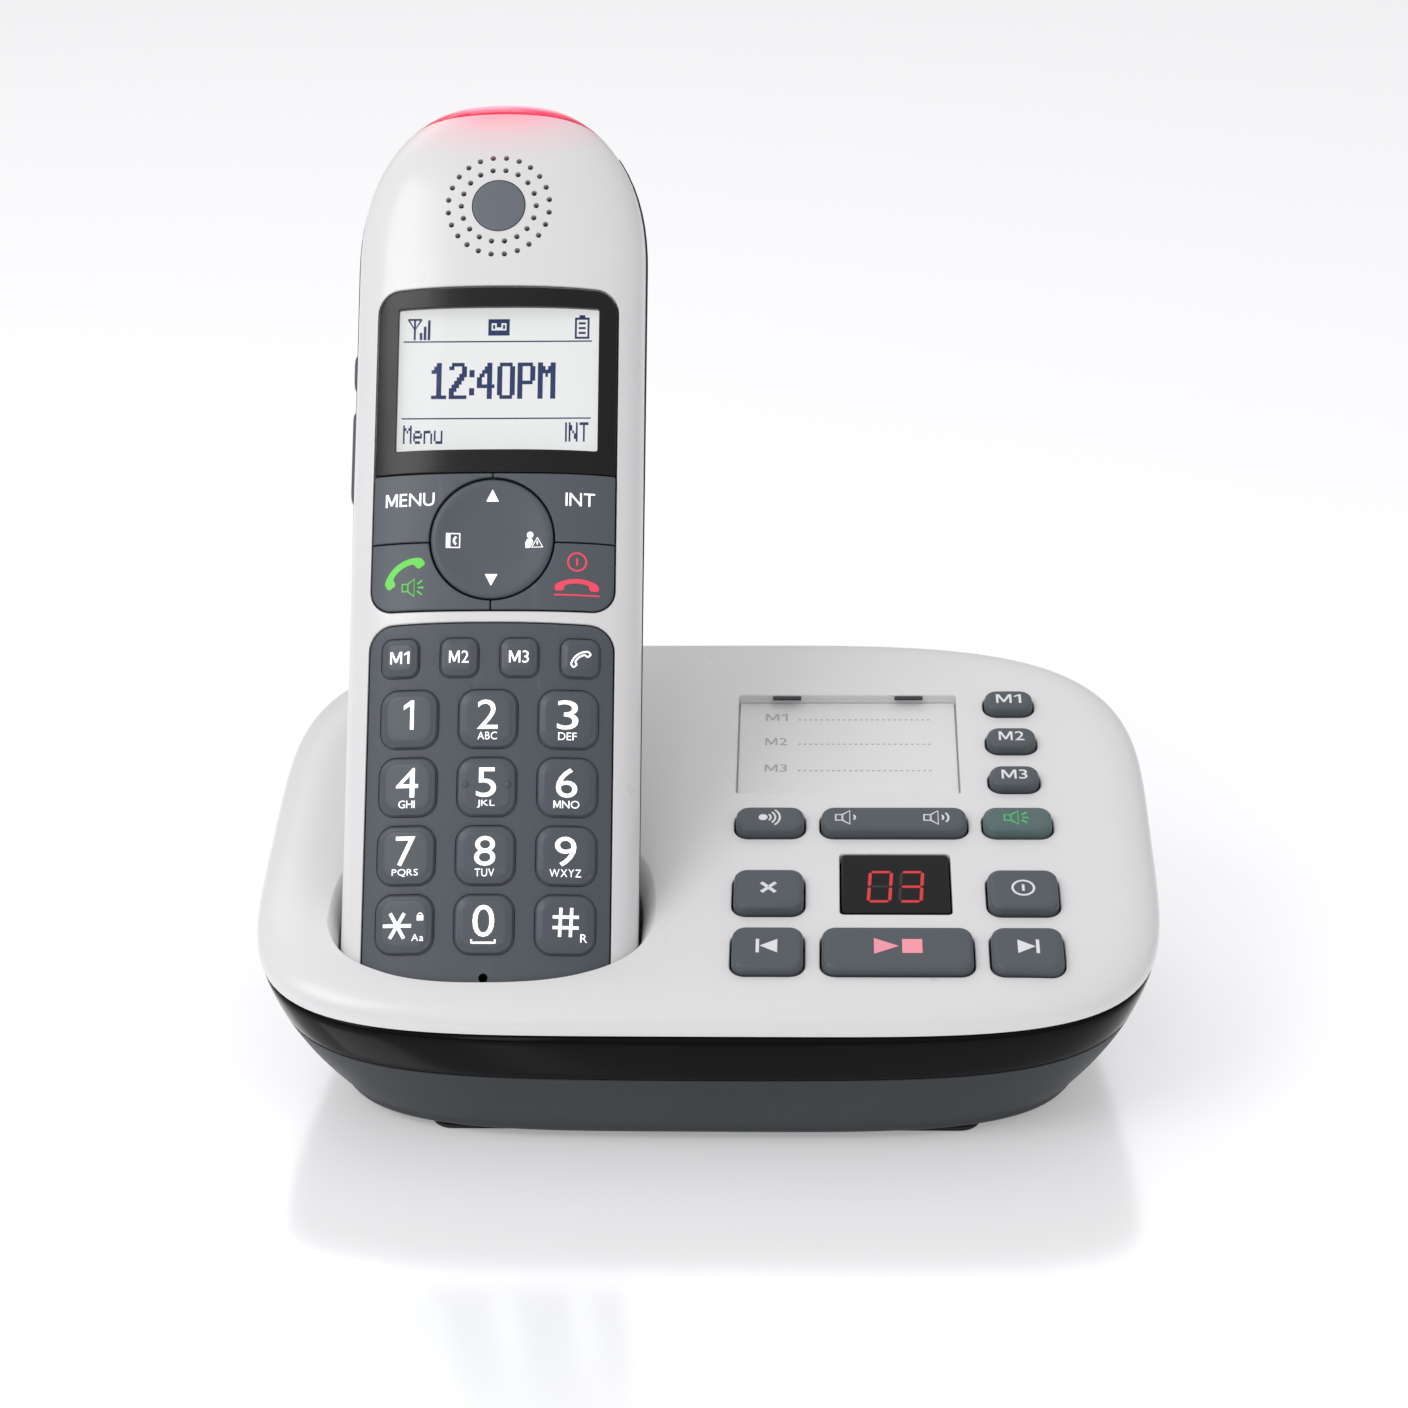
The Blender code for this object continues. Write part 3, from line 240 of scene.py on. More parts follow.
def draw_out(name, rings, joined=False):
    """Draws each ring out of the one before it, then closes both ends or joins the last to the first."""
    bpy.ops.object.select_all(action="DESELECT")
    bpy.ops.mesh.primitive_circle_add(vertices=len(rings[0]))
    piece = bpy.context.object
    piece.name = name
    bpy.ops.object.mode_set(mode="EDIT")
    shape = bmesh.from_edit_mesh(piece.data)
    shape.verts.layers.int.new("turn")
    turn = shape.verts.layers.int["turn"]
    for i, vert in enumerate(shape.verts):
        vert[turn] = i
    for step, ring in enumerate(rings + rings[:1] if joined else rings):
        if step:
            bpy.ops.mesh.extrude_region_move()
        shape = bmesh.from_edit_mesh(piece.data)
        turn = shape.verts.layers.int["turn"]
        for vert in shape.verts:
            if vert.select:
                vert.co = ring[vert[turn]]
    if joined:
        bpy.ops.mesh.select_all(action="SELECT")
        bpy.ops.mesh.remove_doubles(threshold=1e-7)
    else:
        bpy.ops.mesh.edge_face_add()
        bpy.ops.mesh.select_all(action="DESELECT")
        shape = bmesh.from_edit_mesh(piece.data)
        shape.verts.ensure_lookup_table()
        for vert in shape.verts[: len(rings[0])]:
            vert.select_set(True)
        shape.select_flush(True)
        bpy.ops.mesh.edge_face_add()
    bpy.ops.mesh.select_all(action="SELECT")
    bpy.ops.mesh.normals_make_consistent(inside=False)
    bpy.ops.object.mode_set(mode="OBJECT")
    return piece


def only(piece):
    """Selects one piece and nothing else."""
    bpy.ops.object.select_all(action="DESELECT")
    piece.select_set(True)
    bpy.context.view_layer.objects.active = piece


def set_down(piece, place):
    """Puts a piece that was drawn about the origin in its place, in its mesh."""
    piece.matrix_world = place
    only(piece)
    bpy.ops.object.transform_apply(location=True, rotation=True, scale=True)
    return piece


def combine(piece, tool, operation="DIFFERENCE"):
    """Cuts with a tool, or joins it on, and throws the tool away."""
    only(piece)
    change = piece.modifiers.new("change", "BOOLEAN")
    change.operation = operation
    change.solver = "EXACT"
    change.object = tool
    bpy.ops.object.modifier_apply(modifier=change.name)
    bpy.data.objects.remove(tool)
    return piece


def smooth(piece, degrees=32):
    """Shades rounded faces smooth and keeps flat faces flat."""
    only(piece)
    bpy.ops.object.shade_smooth_by_angle(angle=math.radians(degrees))
    even = piece.modifiers.new("even", "WEIGHTED_NORMAL")
    even.keep_sharp = True
    bpy.ops.object.modifier_apply(modifier=even.name)
    return piece


def block(name, low, high):
    """A plain block, to cut with or to shape further."""
    bpy.ops.object.select_all(action="DESELECT")
    middle = (Vector(low) + Vector(high)) / 2
    bpy.ops.mesh.primitive_cube_add(size=1, location=middle, scale=Vector(high) - Vector(low))
    piece = bpy.context.object
    piece.name = name
    bpy.ops.object.transform_apply(location=True, rotation=True, scale=True)
    return piece


def join(name, pieces):
    """Makes one object of several."""
    bpy.ops.object.select_all(action="DESELECT")
    for piece in pieces:
        piece.select_set(True)
    bpy.context.view_layer.objects.active = pieces[0]
    bpy.ops.object.join()
    pieces[0].name = name
    return pieces[0]


def moulded_finish():
    """The grain and the slight cloudiness of a moulded surface, and a painted highlight on its sharp edges."""
    group = bpy.data.node_groups.new("moulded_finish", "ShaderNodeTree")
    for name, kind, value in (
        ("Colour", "Color", (0.5, 0.5, 0.5, 1)),
        ("Edge Colour", "Color", (0.6, 0.6, 0.6, 1)),
        ("Edge", "Float", 0.0),
        ("Roughness", "Float", 0.4),
        ("Grain Size", "Float", 0.25),
        ("Cloudiness", "Float", 0.03),
    ):
        socket = group.interface.new_socket(name=name, in_out="INPUT", socket_type="NodeSocket" + kind)
        socket.default_value = value
    for name, kind in (("Colour", "Color"), ("Roughness", "Float"), ("Height", "Float")):
        group.interface.new_socket(name=name, in_out="OUTPUT", socket_type="NodeSocket" + kind)
    given = group.nodes.new("NodeGroupInput").outputs
    result = group.nodes.new("NodeGroupOutput").inputs
    place = add_node(group, "TexCoord").outputs["Object"]

    grains = add_node(group, "Math", {0: 1000.0, 1: given["Grain Size"]}, operation="DIVIDE").outputs[0]
    grain = add_node(group, "TexNoise", {"Vector": place, "Scale": grains, "Detail": 3.0, "Roughness": 0.6})
    group.links.new(grain.outputs["Fac"], result["Height"])

    cloud = add_node(group, "TexNoise", {"Vector": place, "Scale": 60.0, "Detail": 4.0}).outputs["Fac"]
    centred = add_node(group, "Math", {0: cloud, 1: 0.5}, operation="SUBTRACT").outputs[0]
    amount = add_node(group, "Math", {0: centred, 1: given["Cloudiness"]}, operation="MULTIPLY").outputs[0]
    brightness = add_node(group, "Math", {0: amount, 1: 1.0}, operation="ADD").outputs[0]
    clouded = add_node(group, "HueSaturation", {"Color": given["Colour"], "Value": brightness}).outputs["Color"]

    # Sharp edges, found by pointiness, turn towards the edge colour: a painted highlight along the edges, not wear.
    corners = add_node(group, "NewGeometry").outputs["Pointiness"]
    sharpness = add_node(group, "MapRange", {"Value": corners, "From Min": 0.52, "From Max": 0.62}).outputs["Result"]
    edge_highlight = add_node(group, "Math", {0: sharpness, 1: given["Edge"]}, operation="MULTIPLY").outputs[0]
    edged = add_node(group, "Mix", data_type="RGBA")
    for source, socket in ((edge_highlight, "Factor"), (clouded, "A"), (given["Edge Colour"], "B")):
        group.links.new(source, edged.inputs[socket])
    group.links.new(edged.outputs["Result"], result["Colour"])

    rough = {0: centred, 1: 0.14, 2: given["Roughness"]}
    group.links.new(add_node(group, "Math", rough, operation="MULTIPLY_ADD").outputs[0], result["Roughness"])
    return group


MOULDED_FINISH = moulded_finish()


def moulded(
    name, colour, roughness, grain_size=0.25, grain_depth=0.01, edge=0.0, highlight_colour=None, cloudiness=0.05, coat=0.0
):
    """A moulded plastic or rubber, with its own grain in millimetres."""
    material = bpy.data.materials.new(name)
    material.use_nodes = True
    tree = material.node_tree
    shader = tree.nodes["Principled BSDF"]
    finish = add_node(tree, "Group", name="finish", node_tree=MOULDED_FINISH)
    for socket, value in (
        ("Colour", (*colour, 1)),
        ("Edge Colour", (*(highlight_colour or colour), 1)),
        ("Edge", edge),
        ("Roughness", roughness),
        ("Grain Size", grain_size),
        ("Cloudiness", cloudiness),
    ):
        finish.inputs[socket].default_value = value
    bump = add_node(tree, "Bump", {"Distance": grain_depth * MM, "Height": finish.outputs["Height"]})
    tree.links.new(finish.outputs["Colour"], shader.inputs["Base Color"])
    tree.links.new(finish.outputs["Roughness"], shader.inputs["Roughness"])
    tree.links.new(bump.outputs["Normal"], shader.inputs["Normal"])
    shader.inputs["Coat Weight"].default_value = coat
    shader.inputs["Coat Roughness"].default_value = 0.08
    return material


def adjust(material, socket, value):
    """Sets one value on a finish's own shader."""
    material.node_tree.nodes["Principled BSDF"].inputs[socket].default_value = value
    return material


def fit(piece, body, material, slot, *nodes):
    """Gives a piece its finish and fixes it to the body it moves with."""
    piece.data.materials.clear()
    piece.data.materials.append(material)
    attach(piece, body)
    if nodes:
        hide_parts(*nodes)
    return piece


def repaint(material, *names):
    """Gives CAD nodes whose shape is right their finish."""
    for name in names:
        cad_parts[name].data.materials.clear()
        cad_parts[name].data.materials.append(material)


dark_shell = moulded("dark_shell", DARK_SHELL, 0.52, 0.35, 0.03, 0.5, (0.06, 0.068, 0.075))

tub_top = -(EDGE_DROP + EDGE_LIP + 2 * GAP + BAND_HEIGHT)
outer = [footprint_ring(BOTTOM_EDGE_RADIUS + 6 * MM, UNDERSIDE)]
for degrees in (0, 22, 45, 67):
    inset = BOTTOM_EDGE_RADIUS * (1 - math.sin(math.radians(degrees)))
    outer.append(footprint_ring(inset, UNDERSIDE + BOTTOM_EDGE_RADIUS * (1 - math.cos(math.radians(degrees)))))
outer += [flank_ring(0.0, tub_top, 1 - i / 10) for i in range(10)]
outer += [flank_ring(0.0, tub_top, 0.012), flank_ring(0.12 * MM, tub_top), flank_ring(0.5 * MM, tub_top + 0.05 * MM)]
inner = [flank_ring(SHELL_WALL, tub_top, i / 5) for i in range(6)]
inner.append(footprint_ring(BOTTOM_EDGE_RADIUS + SHELL_WALL, UNDERSIDE + SHELL_WALL))
bottom_shell = draw_out("bottom_shell", outer + inner)

LINE_JACK_X, POWER_JACK_X = 24 * MM, 4 * MM
for x in (LINE_JACK_X, POWER_JACK_X):
    low = (x - JACK_WIDTH / 2 - GAP, JACK_FACE_Y - 15.3 * MM, JACK_FLOOR - GAP)
    high = (x + JACK_WIDTH / 2 + GAP, JACK_FACE_Y + 20 * MM, JACK_FLOOR + JACK_HEIGHT + GAP)
    combine(bottom_shell, block("jack_hole", low, high))
slots = []
for i in range(-2, 3):
    x, y = SPEAKER_PLACE[0] + i * 6 * MM, SPEAKER_PLACE[1]
    slots.append(block("slot", (x - 1 * MM, y - 12 * MM, 0), (x + 1 * MM, y + 12 * MM, 5 * MM)))
combine(bottom_shell, join("slots", slots))
smooth(bottom_shell)
fit(set_down(bottom_shell, STAND), "base", dark_shell, "dark_grey_abs", "base_bottom_shell")

# ---- The base's top shell, with the cradle moulded in ----
# One moulding in satin white ABS: a sloping deck with a rolled edge, a recess for the memory card,
# holes for the keys and the message display, and the pocket that the handset stands in.

HANDSET_X = -38.9 * MM
HANDSET_RIM_Y = -40.7 * MM
HANDSET_LEAN = math.radians(33.5)
HANDSET_HALF_WIDTH = 27.0 * MM
HANDSET_TOP = 167.6 * MM
HANDSET_SUNK = 6.0 * MM
FRONT_DEPTH = 10.0 * MM
REAR_DEPTH = 15.5 * MM
FACE_SQUARENESS = 2.5
BACK_SQUARENESS = 3.2
TOP_ARC = 33.0 * MM
TOP_ARC_SQUARENESS = 2.25
TOP_FACE_ROUND = 20.0 * MM
BOTTOM_ROUND = 5.0 * MM
CRADLE_CLEARANCE = 0.5 * MM
CRADLE_WALL = 2.0 * MM
CRADLE_FLARE = 2.5 * MM
FLARE_DEPTH = 4.0 * MM
CONTACT_SPREAD = 8.0 * MM
CONTACT_RADIUS = 1.25 * MM
CARD_LOW = (4.8 * MM, 9.3 * MM)
CARD_HIGH = (47.6 * MM, 39.3 * MM)
CARD_RECESS_DEPTH = 2.5 * MM
KEY_COLUMNS = (11.5 * MM, 34.7 * MM, 57.8 * MM)
DISPLAY_SIZE = (19.8 * MM, 16.0 * MM)
DISPLAY_UP = -16.6 * MM
BASE_KEY_CORNER = 2.4 * MM
BASE_KEYS = {
    "memory_1": (57.8, 35.6, 9.4, 6.1),
    "memory_2": (57.8, 24.0, 9.4, 6.1),
    "memory_3": (57.8, 12.4, 9.4, 6.1),
    "page": (11.5, -0.3, 12.8, 7.0),
    "volume": (34.7, -0.3, 27.2, 7.0),
    "speaker": (57.8, -0.3, 12.8, 7.0),
    "delete": (11.5, -19.9, 12.8, 10.8),
    "power": (57.8, -19.9, 12.8, 10.8),
    "previous": (11.5, -35.5, 12.8, 10.9),
    "play": (34.7, -35.5, 27.0, 10.9),
    "next": (57.8, -35.5, 12.8, 10.9),
}
WHITE_SHELL = (0.775, 0.765, 0.77)

rim_z = DECK_HEIGHT + HANDSET_RIM_Y * math.tan(DECK_SLOPE)
HANDSET = STAND @ Matrix.Translation((HANDSET_X, HANDSET_RIM_Y, rim_z)) @ Matrix.Rotation(-HANDSET_LEAN, 4, "X")


def closing(distance, reach, squareness):
    """The share of its full size that a section keeps, at a distance from the end it rounds off to."""
    if distance >= reach:
        return 1.0
    return (1 - (1 - max(distance, 0.0) / reach) ** squareness) ** (1 / squareness)


def section(along, offset=0.0, half=None):
    """The handset's section at a place along it: the whole ring, or the front or rear half of it."""
    from_top = HANDSET_TOP + offset - along
    width = (HANDSET_HALF_WIDTH + offset) * closing(from_top, TOP_ARC + offset, TOP_ARC_SQUARENESS)
    rounding = closing(from_top, TOP_FACE_ROUND + offset, 2.0)
    inset = BOTTOM_ROUND * (1 - closing(along + HANDSET_SUNK + offset, BOTTOM_ROUND, 2.0))
    start, end = {None: (0, 360), "front": (180, 360), "rear": (0, 180)}[half]
    count, points = 96, []
    for i in range(count + (half is not None)):
        angle = math.radians(start + (end - start) * i / count)
        depth, squareness = (REAR_DEPTH, BACK_SQUARENESS) if math.sin(angle) > 0 else (FRONT_DEPTH, FACE_SQUARENESS)
        x = (width - inset) * signed_power(math.cos(angle), 2 / squareness)
        y = ((depth + offset) * rounding - inset) * signed_power(math.sin(angle), 2 / squareness)
        points.append((x, FRONT_DEPTH + y, along))
    return points


def cradle_sweep(wall):
    """The handset's lower end, grown by a clearance and a wall, and drawn up along its own axis."""
    grow = CRADLE_CLEARANCE + wall
    rings = []
    for degrees in range(0, 91, 15):
        ring = section(HANDSET_TOP / 2, grow - BOTTOM_ROUND * (1 - math.sin(math.radians(degrees))))
        place = -HANDSET_SUNK - 1.0 * MM - wall + BOTTOM_ROUND * (1 - math.cos(math.radians(degrees)))
        rings.append([(x, y, place) for x, y, _ in ring])
    rings.append([(x, y, 70 * MM) for x, y, _ in section(HANDSET_TOP / 2, grow)])
    return rings


def cradle_mouth():
    """The mouth's flare, in the deck's plane: soft all round, and widest along the handset's sides and back."""
    tilt = HANDSET_LEAN + DECK_SLOPE
    rings = []
    for level in (-4.0, -3.2, -2.4, -1.8, -1.3, -0.9, -0.6, -0.35, -0.15, 0.04, 0.5, 4.0):
        share = max(1 + level * MM / FLARE_DEPTH, 0.0) ** 2.4
        lip = 0.4 * MM * max(1 - math.sqrt(max(-level / 0.5, 0.0)), 0.0) if level <= 0 else 0.4 * MM + level * MM * 0.4
        ring = []
        for x, y, _ in section(HANDSET_TOP / 2, CRADLE_CLEARANCE - 0.3 * MM):
            back = min(max(y, 0.0) / FRONT_DEPTH, 1.0)
            away = Vector((x, (y - FRONT_DEPTH) * 0.8, 0)).normalized() * (CRADLE_FLARE * share * back**1.5 + lip)
            px, py = x + away.x, y + away.y
            ring.append((px, py, (level * MM + py * math.sin(tilt)) / math.cos(tilt)))
        rings.append(ring)
    return rings


def rounded(width, height, corner, steps=6, top_corner=None, arch=0.0):
    """Corner points anticlockwise from the lower right, about the middle. The top edge may rise into an arch."""
    points = []
    for quarter, (side, level) in enumerate(((1, -1), (1, 1), (-1, 1), (-1, -1))):
        radius = corner if top_corner is None or level < 0 else top_corner
        centre = (side * (width / 2 - radius), level * (height / 2 - radius))
        for step in range(steps + 1):
            angle = math.radians(-90 + 90 * quarter + 90 * step / steps)
            points.append((centre[0] + radius * math.cos(angle), centre[1] + radius * math.sin(angle)))
        if quarter == 1 and arch:
            for share in (0.85, 0.7, 0.5, 0.3, 0.1, -0.1, -0.3, -0.5, -0.7, -0.85):
                points.append((share * (width / 2 - radius), height / 2 + arch * (1 - share**2)))
    return points


def circle(x, y, radius, count=24):
    turns = [2 * math.pi * i / count for i in range(count)]
    return [(x + radius * math.cos(a), y + radius * math.sin(a)) for a in turns]


def plate(name, profile, place, size, corner, steps=6, shrink=1.0, least=0.0):
    """A rounded plate about a point, in millimetres. Its profile gives the inset and height of each ring."""
    rings = []
    for inset, level in profile:
        radius = max(corner - inset * shrink, least)
        ring = rounded((size[0] - 2 * inset) * MM, (size[1] - 2 * inset) * MM, radius * MM, steps)
        rings.append([(place[0] * MM + x, place[1] * MM + y, level * MM) for x, y in ring])
    return draw_out(name, rings)


def hole_in_deck(x, y, width, height, corner, depth=12 * MM):
    """A tool that cuts a hole with a softened edge through the deck."""
    rings = []
    for grow, level in ((0, -depth), (0, -0.35), (0.05, -0.18), (0.12, -0.08), (0.33, 0.05), (0.5, 0.4)):
        ring = rounded(width + 2 * grow * MM, height + 2 * grow * MM, corner + grow * MM)
        rings.append([(x + px, y + py, level if level == -depth else level * MM) for px, py in ring])
    return draw_out("hole", rings)


white_shell = moulded("white_shell", WHITE_SHELL, 0.3, 0.5, 0.004, 0.0, cloudiness=0.02, coat=0.15)

outer = [deck_ring(EDGE_ROLL + 1.0 * MM, 0.0)]
for degrees in (0, 6, 14, 22, 30, 38, 46, 54, 62, 70, 78, 84, 90):
    angle = math.radians(degrees)
    outer.append(deck_ring(EDGE_ROLL * (1 - math.sin(angle)), -EDGE_DROP * (1 - math.cos(angle))))
outer.append(deck_ring(0.0, -EDGE_DROP - EDGE_LIP + 0.2 * MM))
outer.append(deck_ring(0.2 * MM, -EDGE_DROP - EDGE_LIP))
inner = [deck_ring(SHELL_WALL, -EDGE_DROP - EDGE_LIP)]
for degrees in (60, 30, 0):
    angle = math.radians(degrees)
    drop = -(EDGE_DROP - SHELL_WALL * 0.2) * (1 - math.cos(angle)) - SHELL_WALL
    inner.append(deck_ring(EDGE_ROLL * (1 - math.sin(angle)) + SHELL_WALL, drop))
top_shell = set_down(draw_out("top_shell", outer + inner), DECK)

clear = SHELL_WALL + 2 * GAP
under_deck = [[deck_to_stand(x, y, z) for x, y, z in deck_ring(SHELL_WALL * 0.6, -1.0 * MM)]]
under_deck.append(flank_ring(clear, -EDGE_DROP - EDGE_LIP))
under_deck.append(flank_ring(clear, -EDGE_DROP - EDGE_LIP - BAND_HEIGHT))
under_deck.append(footprint_ring(clear + BOTTOM_EDGE_RADIUS, 3.2 * MM))
cradle_tub = set_down(draw_out("cradle_tub", cradle_sweep(CRADLE_WALL)), HANDSET)
combine(cradle_tub, set_down(draw_out("under_deck", under_deck), STAND), "INTERSECT")
combine(top_shell, cradle_tub, "UNION")
wall = 1.5 * MM
tray_low = (CARD_LOW[0] - wall, CARD_LOW[1] - wall, -CARD_RECESS_DEPTH - wall)
tray_high = (CARD_HIGH[0] + wall, CARD_HIGH[1] + wall, -SHELL_WALL * 0.5)
combine(top_shell, set_down(block("card_tray", tray_low, tray_high), DECK), "UNION")

card_middle = ((CARD_LOW[0] + CARD_HIGH[0]) / 2, (CARD_LOW[1] + CARD_HIGH[1]) / 2)
card_size = (CARD_HIGH[0] - CARD_LOW[0], CARD_HIGH[1] - CARD_LOW[1])
tools = [hole_in_deck(*card_middle, *card_size, 0.4 * MM, CARD_RECESS_DEPTH)]
tools.append(hole_in_deck(KEY_COLUMNS[1], DISPLAY_UP, DISPLAY_SIZE[0] + 2 * GAP, DISPLAY_SIZE[1] + 2 * GAP, 0.8 * MM))
for x, y, width, height in BASE_KEYS.values():
    tools.append(hole_in_deck(x * MM, y * MM, width * MM + 2 * GAP, height * MM + 2 * GAP, BASE_KEY_CORNER + GAP))
combine(top_shell, set_down(join("holes", tools), DECK))
combine(top_shell, set_down(draw_out("pocket", cradle_sweep(0.0)), HANDSET))
combine(top_shell, set_down(draw_out("mouth", cradle_mouth()), HANDSET))
for side in (-1, 1):
    ring = circle(side * CONTACT_SPREAD, FRONT_DEPTH + GAP, CONTACT_RADIUS + GAP)
    rings = [[(x, y, level) for x, y in ring] for level in (-30 * MM, 0.0)]
    combine(top_shell, set_down(draw_out("contact_hole", rings), HANDSET))
smooth(top_shell)
fit(top_shell, "base", white_shell, "white_abs", "base_top_shell")

# ---- The trim band ----
# A polished black plastic strip that snaps between the two shells, with its upper edge rounded over.
# A tongue behind its lower edge reaches into the bottom shell and closes the seam.

gloss_black = moulded("gloss_black", (0.0015, 0.0015, 0.002), 0.09, 3.0, 0.002, cloudiness=0.2)
adjust(gloss_black, "Specular IOR Level", 0.12)

band_top = -(EDGE_DROP + EDGE_LIP + GAP)
band_bottom = band_top - BAND_HEIGHT
rings = [flank_ring(1.3 * MM, band_top), flank_ring(0.75 * MM, band_top - 0.12 * MM)]
rings += [flank_ring(0.35 * MM, band_top - 0.45 * MM), flank_ring(0.1 * MM, band_top - 1.0 * MM)]
rings += [flank_ring(0.0, band_top - (1.8 + 1.3 * i) * MM) for i in range(6)]
rings += [flank_ring(0.1 * MM, band_bottom), flank_ring(SHELL_WALL, band_bottom), flank_ring(SHELL_WALL, band_top)]
trim_band = draw_out("trim_band", rings, joined=True)
smooth(trim_band, 50)
fit(set_down(trim_band, STAND), "base", gloss_black, "gloss_black", "base_trim_band")
TONGUE_FRONT, TONGUE_BACK, TONGUE_REACH = 1.2 * MM, 2.0 * MM, 0.9 * MM
corners = ((TONGUE_FRONT, 1), (TONGUE_FRONT, -1), (TONGUE_BACK, -1), (TONGUE_BACK, 1))
rings = [flank_ring(inset, band_bottom + side * TONGUE_REACH) for inset, side in corners]
fit(set_down(draw_out("band_tongue", rings, joined=True), STAND), "base", gloss_black, "gloss_black")

# ---- The feet and what fills the jacks ----
# Two rubber strips are glued into the underside. Four screws hold the shells together. The line jack
# has gold spring wires, and the power jack a bare metal pin.

black_rubber = moulded("black_rubber", (0.012, 0.012, 0.013), 0.85, 0.4, 0.05)
black_nylon = moulded("black_nylon", (0.010, 0.010, 0.011), 0.45, 0.2, 0.01)
repaint(black_nylon, "line_jack", "power_jack", "navigation_key_pivot")


def metal(name, colour, roughness):
    return adjust(moulded(name, colour, roughness, 0.15, 0.002, cloudiness=0.1), "Metallic", 1.0)


steel = metal("steel", (0.62, 0.62, 0.63), 0.28)
gold = metal("gold", (0.83, 0.60, 0.25), 0.22)

FOOT_PROFILE = ((0.6, 0.0), (0.25, 0.1), (0.05, 0.3), (0.0, 0.6), (0.0, 1.0))
for name, middle in (("front", FRONT_FOOT_Y / MM), ("rear", 39)):
    foot = set_down(plate(f"{name}_foot", FOOT_PROFILE, (0, middle), (100, 8), 3.9, 8), STAND)
    fit(smooth(foot), "base", black_rubber, "rubber_feet", f"foot_{name}")

SCREW_PROFILE = ((0.4, 1.15), (2.0, 1.15), (2.3, 1.05), (2.6, 0.85), (2.6, 1.4))
SLOT_LENGTH, SLOT_WIDTH = 1.3, 0.25
for i, (x, y) in enumerate(((-56, -28), (56, -28), (-56, 30), (56, 30))):
    rings = []
    for radius, level in SCREW_PROFILE:
        rings.append([(px, py, level * MM) for px, py in circle(x * MM, y * MM, radius * MM)])
    screw = draw_out(f"base_screw_{i + 1}", rings)
    for reach_x, reach_y, top in ((SLOT_LENGTH, SLOT_WIDTH, 1.05), (SLOT_WIDTH, SLOT_LENGTH, 1.051)):
        low = ((x - reach_x) * MM, (y - reach_y) * MM, 0.0)
        combine(screw, block("bar", low, ((x + reach_x) * MM, (y + reach_y) * MM, top * MM)))
    fit(set_down(smooth(screw), STAND), "base", steel, "steel")

jack_middle = JACK_FLOOR + JACK_HEIGHT / 2


def tube(name, radius, kind, points, cyclic=False, fineness=2):
    """A wire of even thickness along a drawn line, made a mesh."""
    path = bpy.data.curves.new(name, "CURVE")
    path.dimensions = "3D"
    path.bevel_depth = radius
    path.bevel_resolution = fineness
    path.use_fill_caps = not cyclic
    line = path.splines.new(kind)
    if kind == "BEZIER":
        line.bezier_points.add(len(points) - 1)
        for point, place in zip(line.bezier_points, points):
            point.co = place
            point.handle_left_type = point.handle_right_type = "AUTO"
    else:
        line.points.add(len(points) - 1)
        line.use_cyclic_u = cyclic
        for point, place in zip(line.points, points):
            point.co = (*place, 1)
    holder = bpy.data.objects.new(name, path)
    scene.collection.objects.link(holder)
    only(holder)
    bpy.ops.object.convert(target="MESH")
    return bpy.context.object


WIRE_RADIUS = 0.22 * MM
WIRE_PITCH = 1.27 * MM
wires = []
for i in range(4):
    x = LINE_JACK_X + (i - 1.5) * WIRE_PITCH
    bend = [(x, y * MM, jack_middle + z * MM) for y, z in ((47.5, 3.2), (43.5, 1.0), (39.4, 2.6))]
    wires.append(tube("wire", WIRE_RADIUS, "BEZIER", bend))
line_wires = set_down(join("line_jack_wires", wires), STAND)
fit(smooth(line_wires), "base", gold, "contact_metal")

rings = []
for radius, y in ((0.2, 49.1), (0.7, 49.0), (1.02, 48.6), (1.04, 40.0), (0.2, 40.0)):
    rings.append([(x, y * MM, z) for x, z in circle(POWER_JACK_X, jack_middle, radius * MM)])
power_pin = set_down(draw_out("power_pin", rings), STAND)
fit(smooth(power_pin), "base", steel, "contact_metal")

# ---- Inside the base ----
# A green lacquered circuit board hangs under the deck, and a steel-framed loudspeaker lies over the
# slots in the floor. The shells hold both.

board_green = moulded("board_green", (0.02, 0.11, 0.05), 0.35, 1.5, 0.02, cloudiness=0.3, coat=0.3)
repaint(board_green, "base_circuit_board", "handset_circuit_board")
speaker_steel = metal("speaker_steel", (0.35, 0.35, 0.36), 0.4)
repaint(speaker_steel, "base_speaker")

# ---- The memory card, its window and its tabs ----
# A white printed card with three named lines lies in the recess, under a clear acrylic window that
# two small tabs hold at its rear edge.

CARD_TOP = -CARD_RECESS_DEPTH + GAP + 0.3 * MM
PRINT_THICKNESS = 0.05 * MM


def lay_on(mark, under, place):
    """Presses a flat mark onto the surface below it, and keeps the mark's own thickness."""
    shape = under.data
    surface = BVHTree.FromPolygons([v.co for v in shape.vertices], [p.vertices for p in shape.polygons])
    out = (place.to_3x3() @ Vector((0, 0, 1))).normalized()
    for vert in mark.data.vertices:
        x, y, thickness = vert.co
        start = place @ Vector((x, y, 30 * MM))
        hit = surface.ray_cast(start, -out)[0]
        if hit is None:
            hit = surface.find_nearest(place @ Vector((x, y, 0)))[0]
        vert.co = hit + out * thickness
    return mark


def flatten(mark):
    """Gives a mark its print thickness, centred on the surface."""
    reach = max(abs(v.co.z) for v in mark.data.vertices)
    for vert in mark.data.vertices:
        vert.co.z *= PRINT_THICKNESS / reach
    return mark


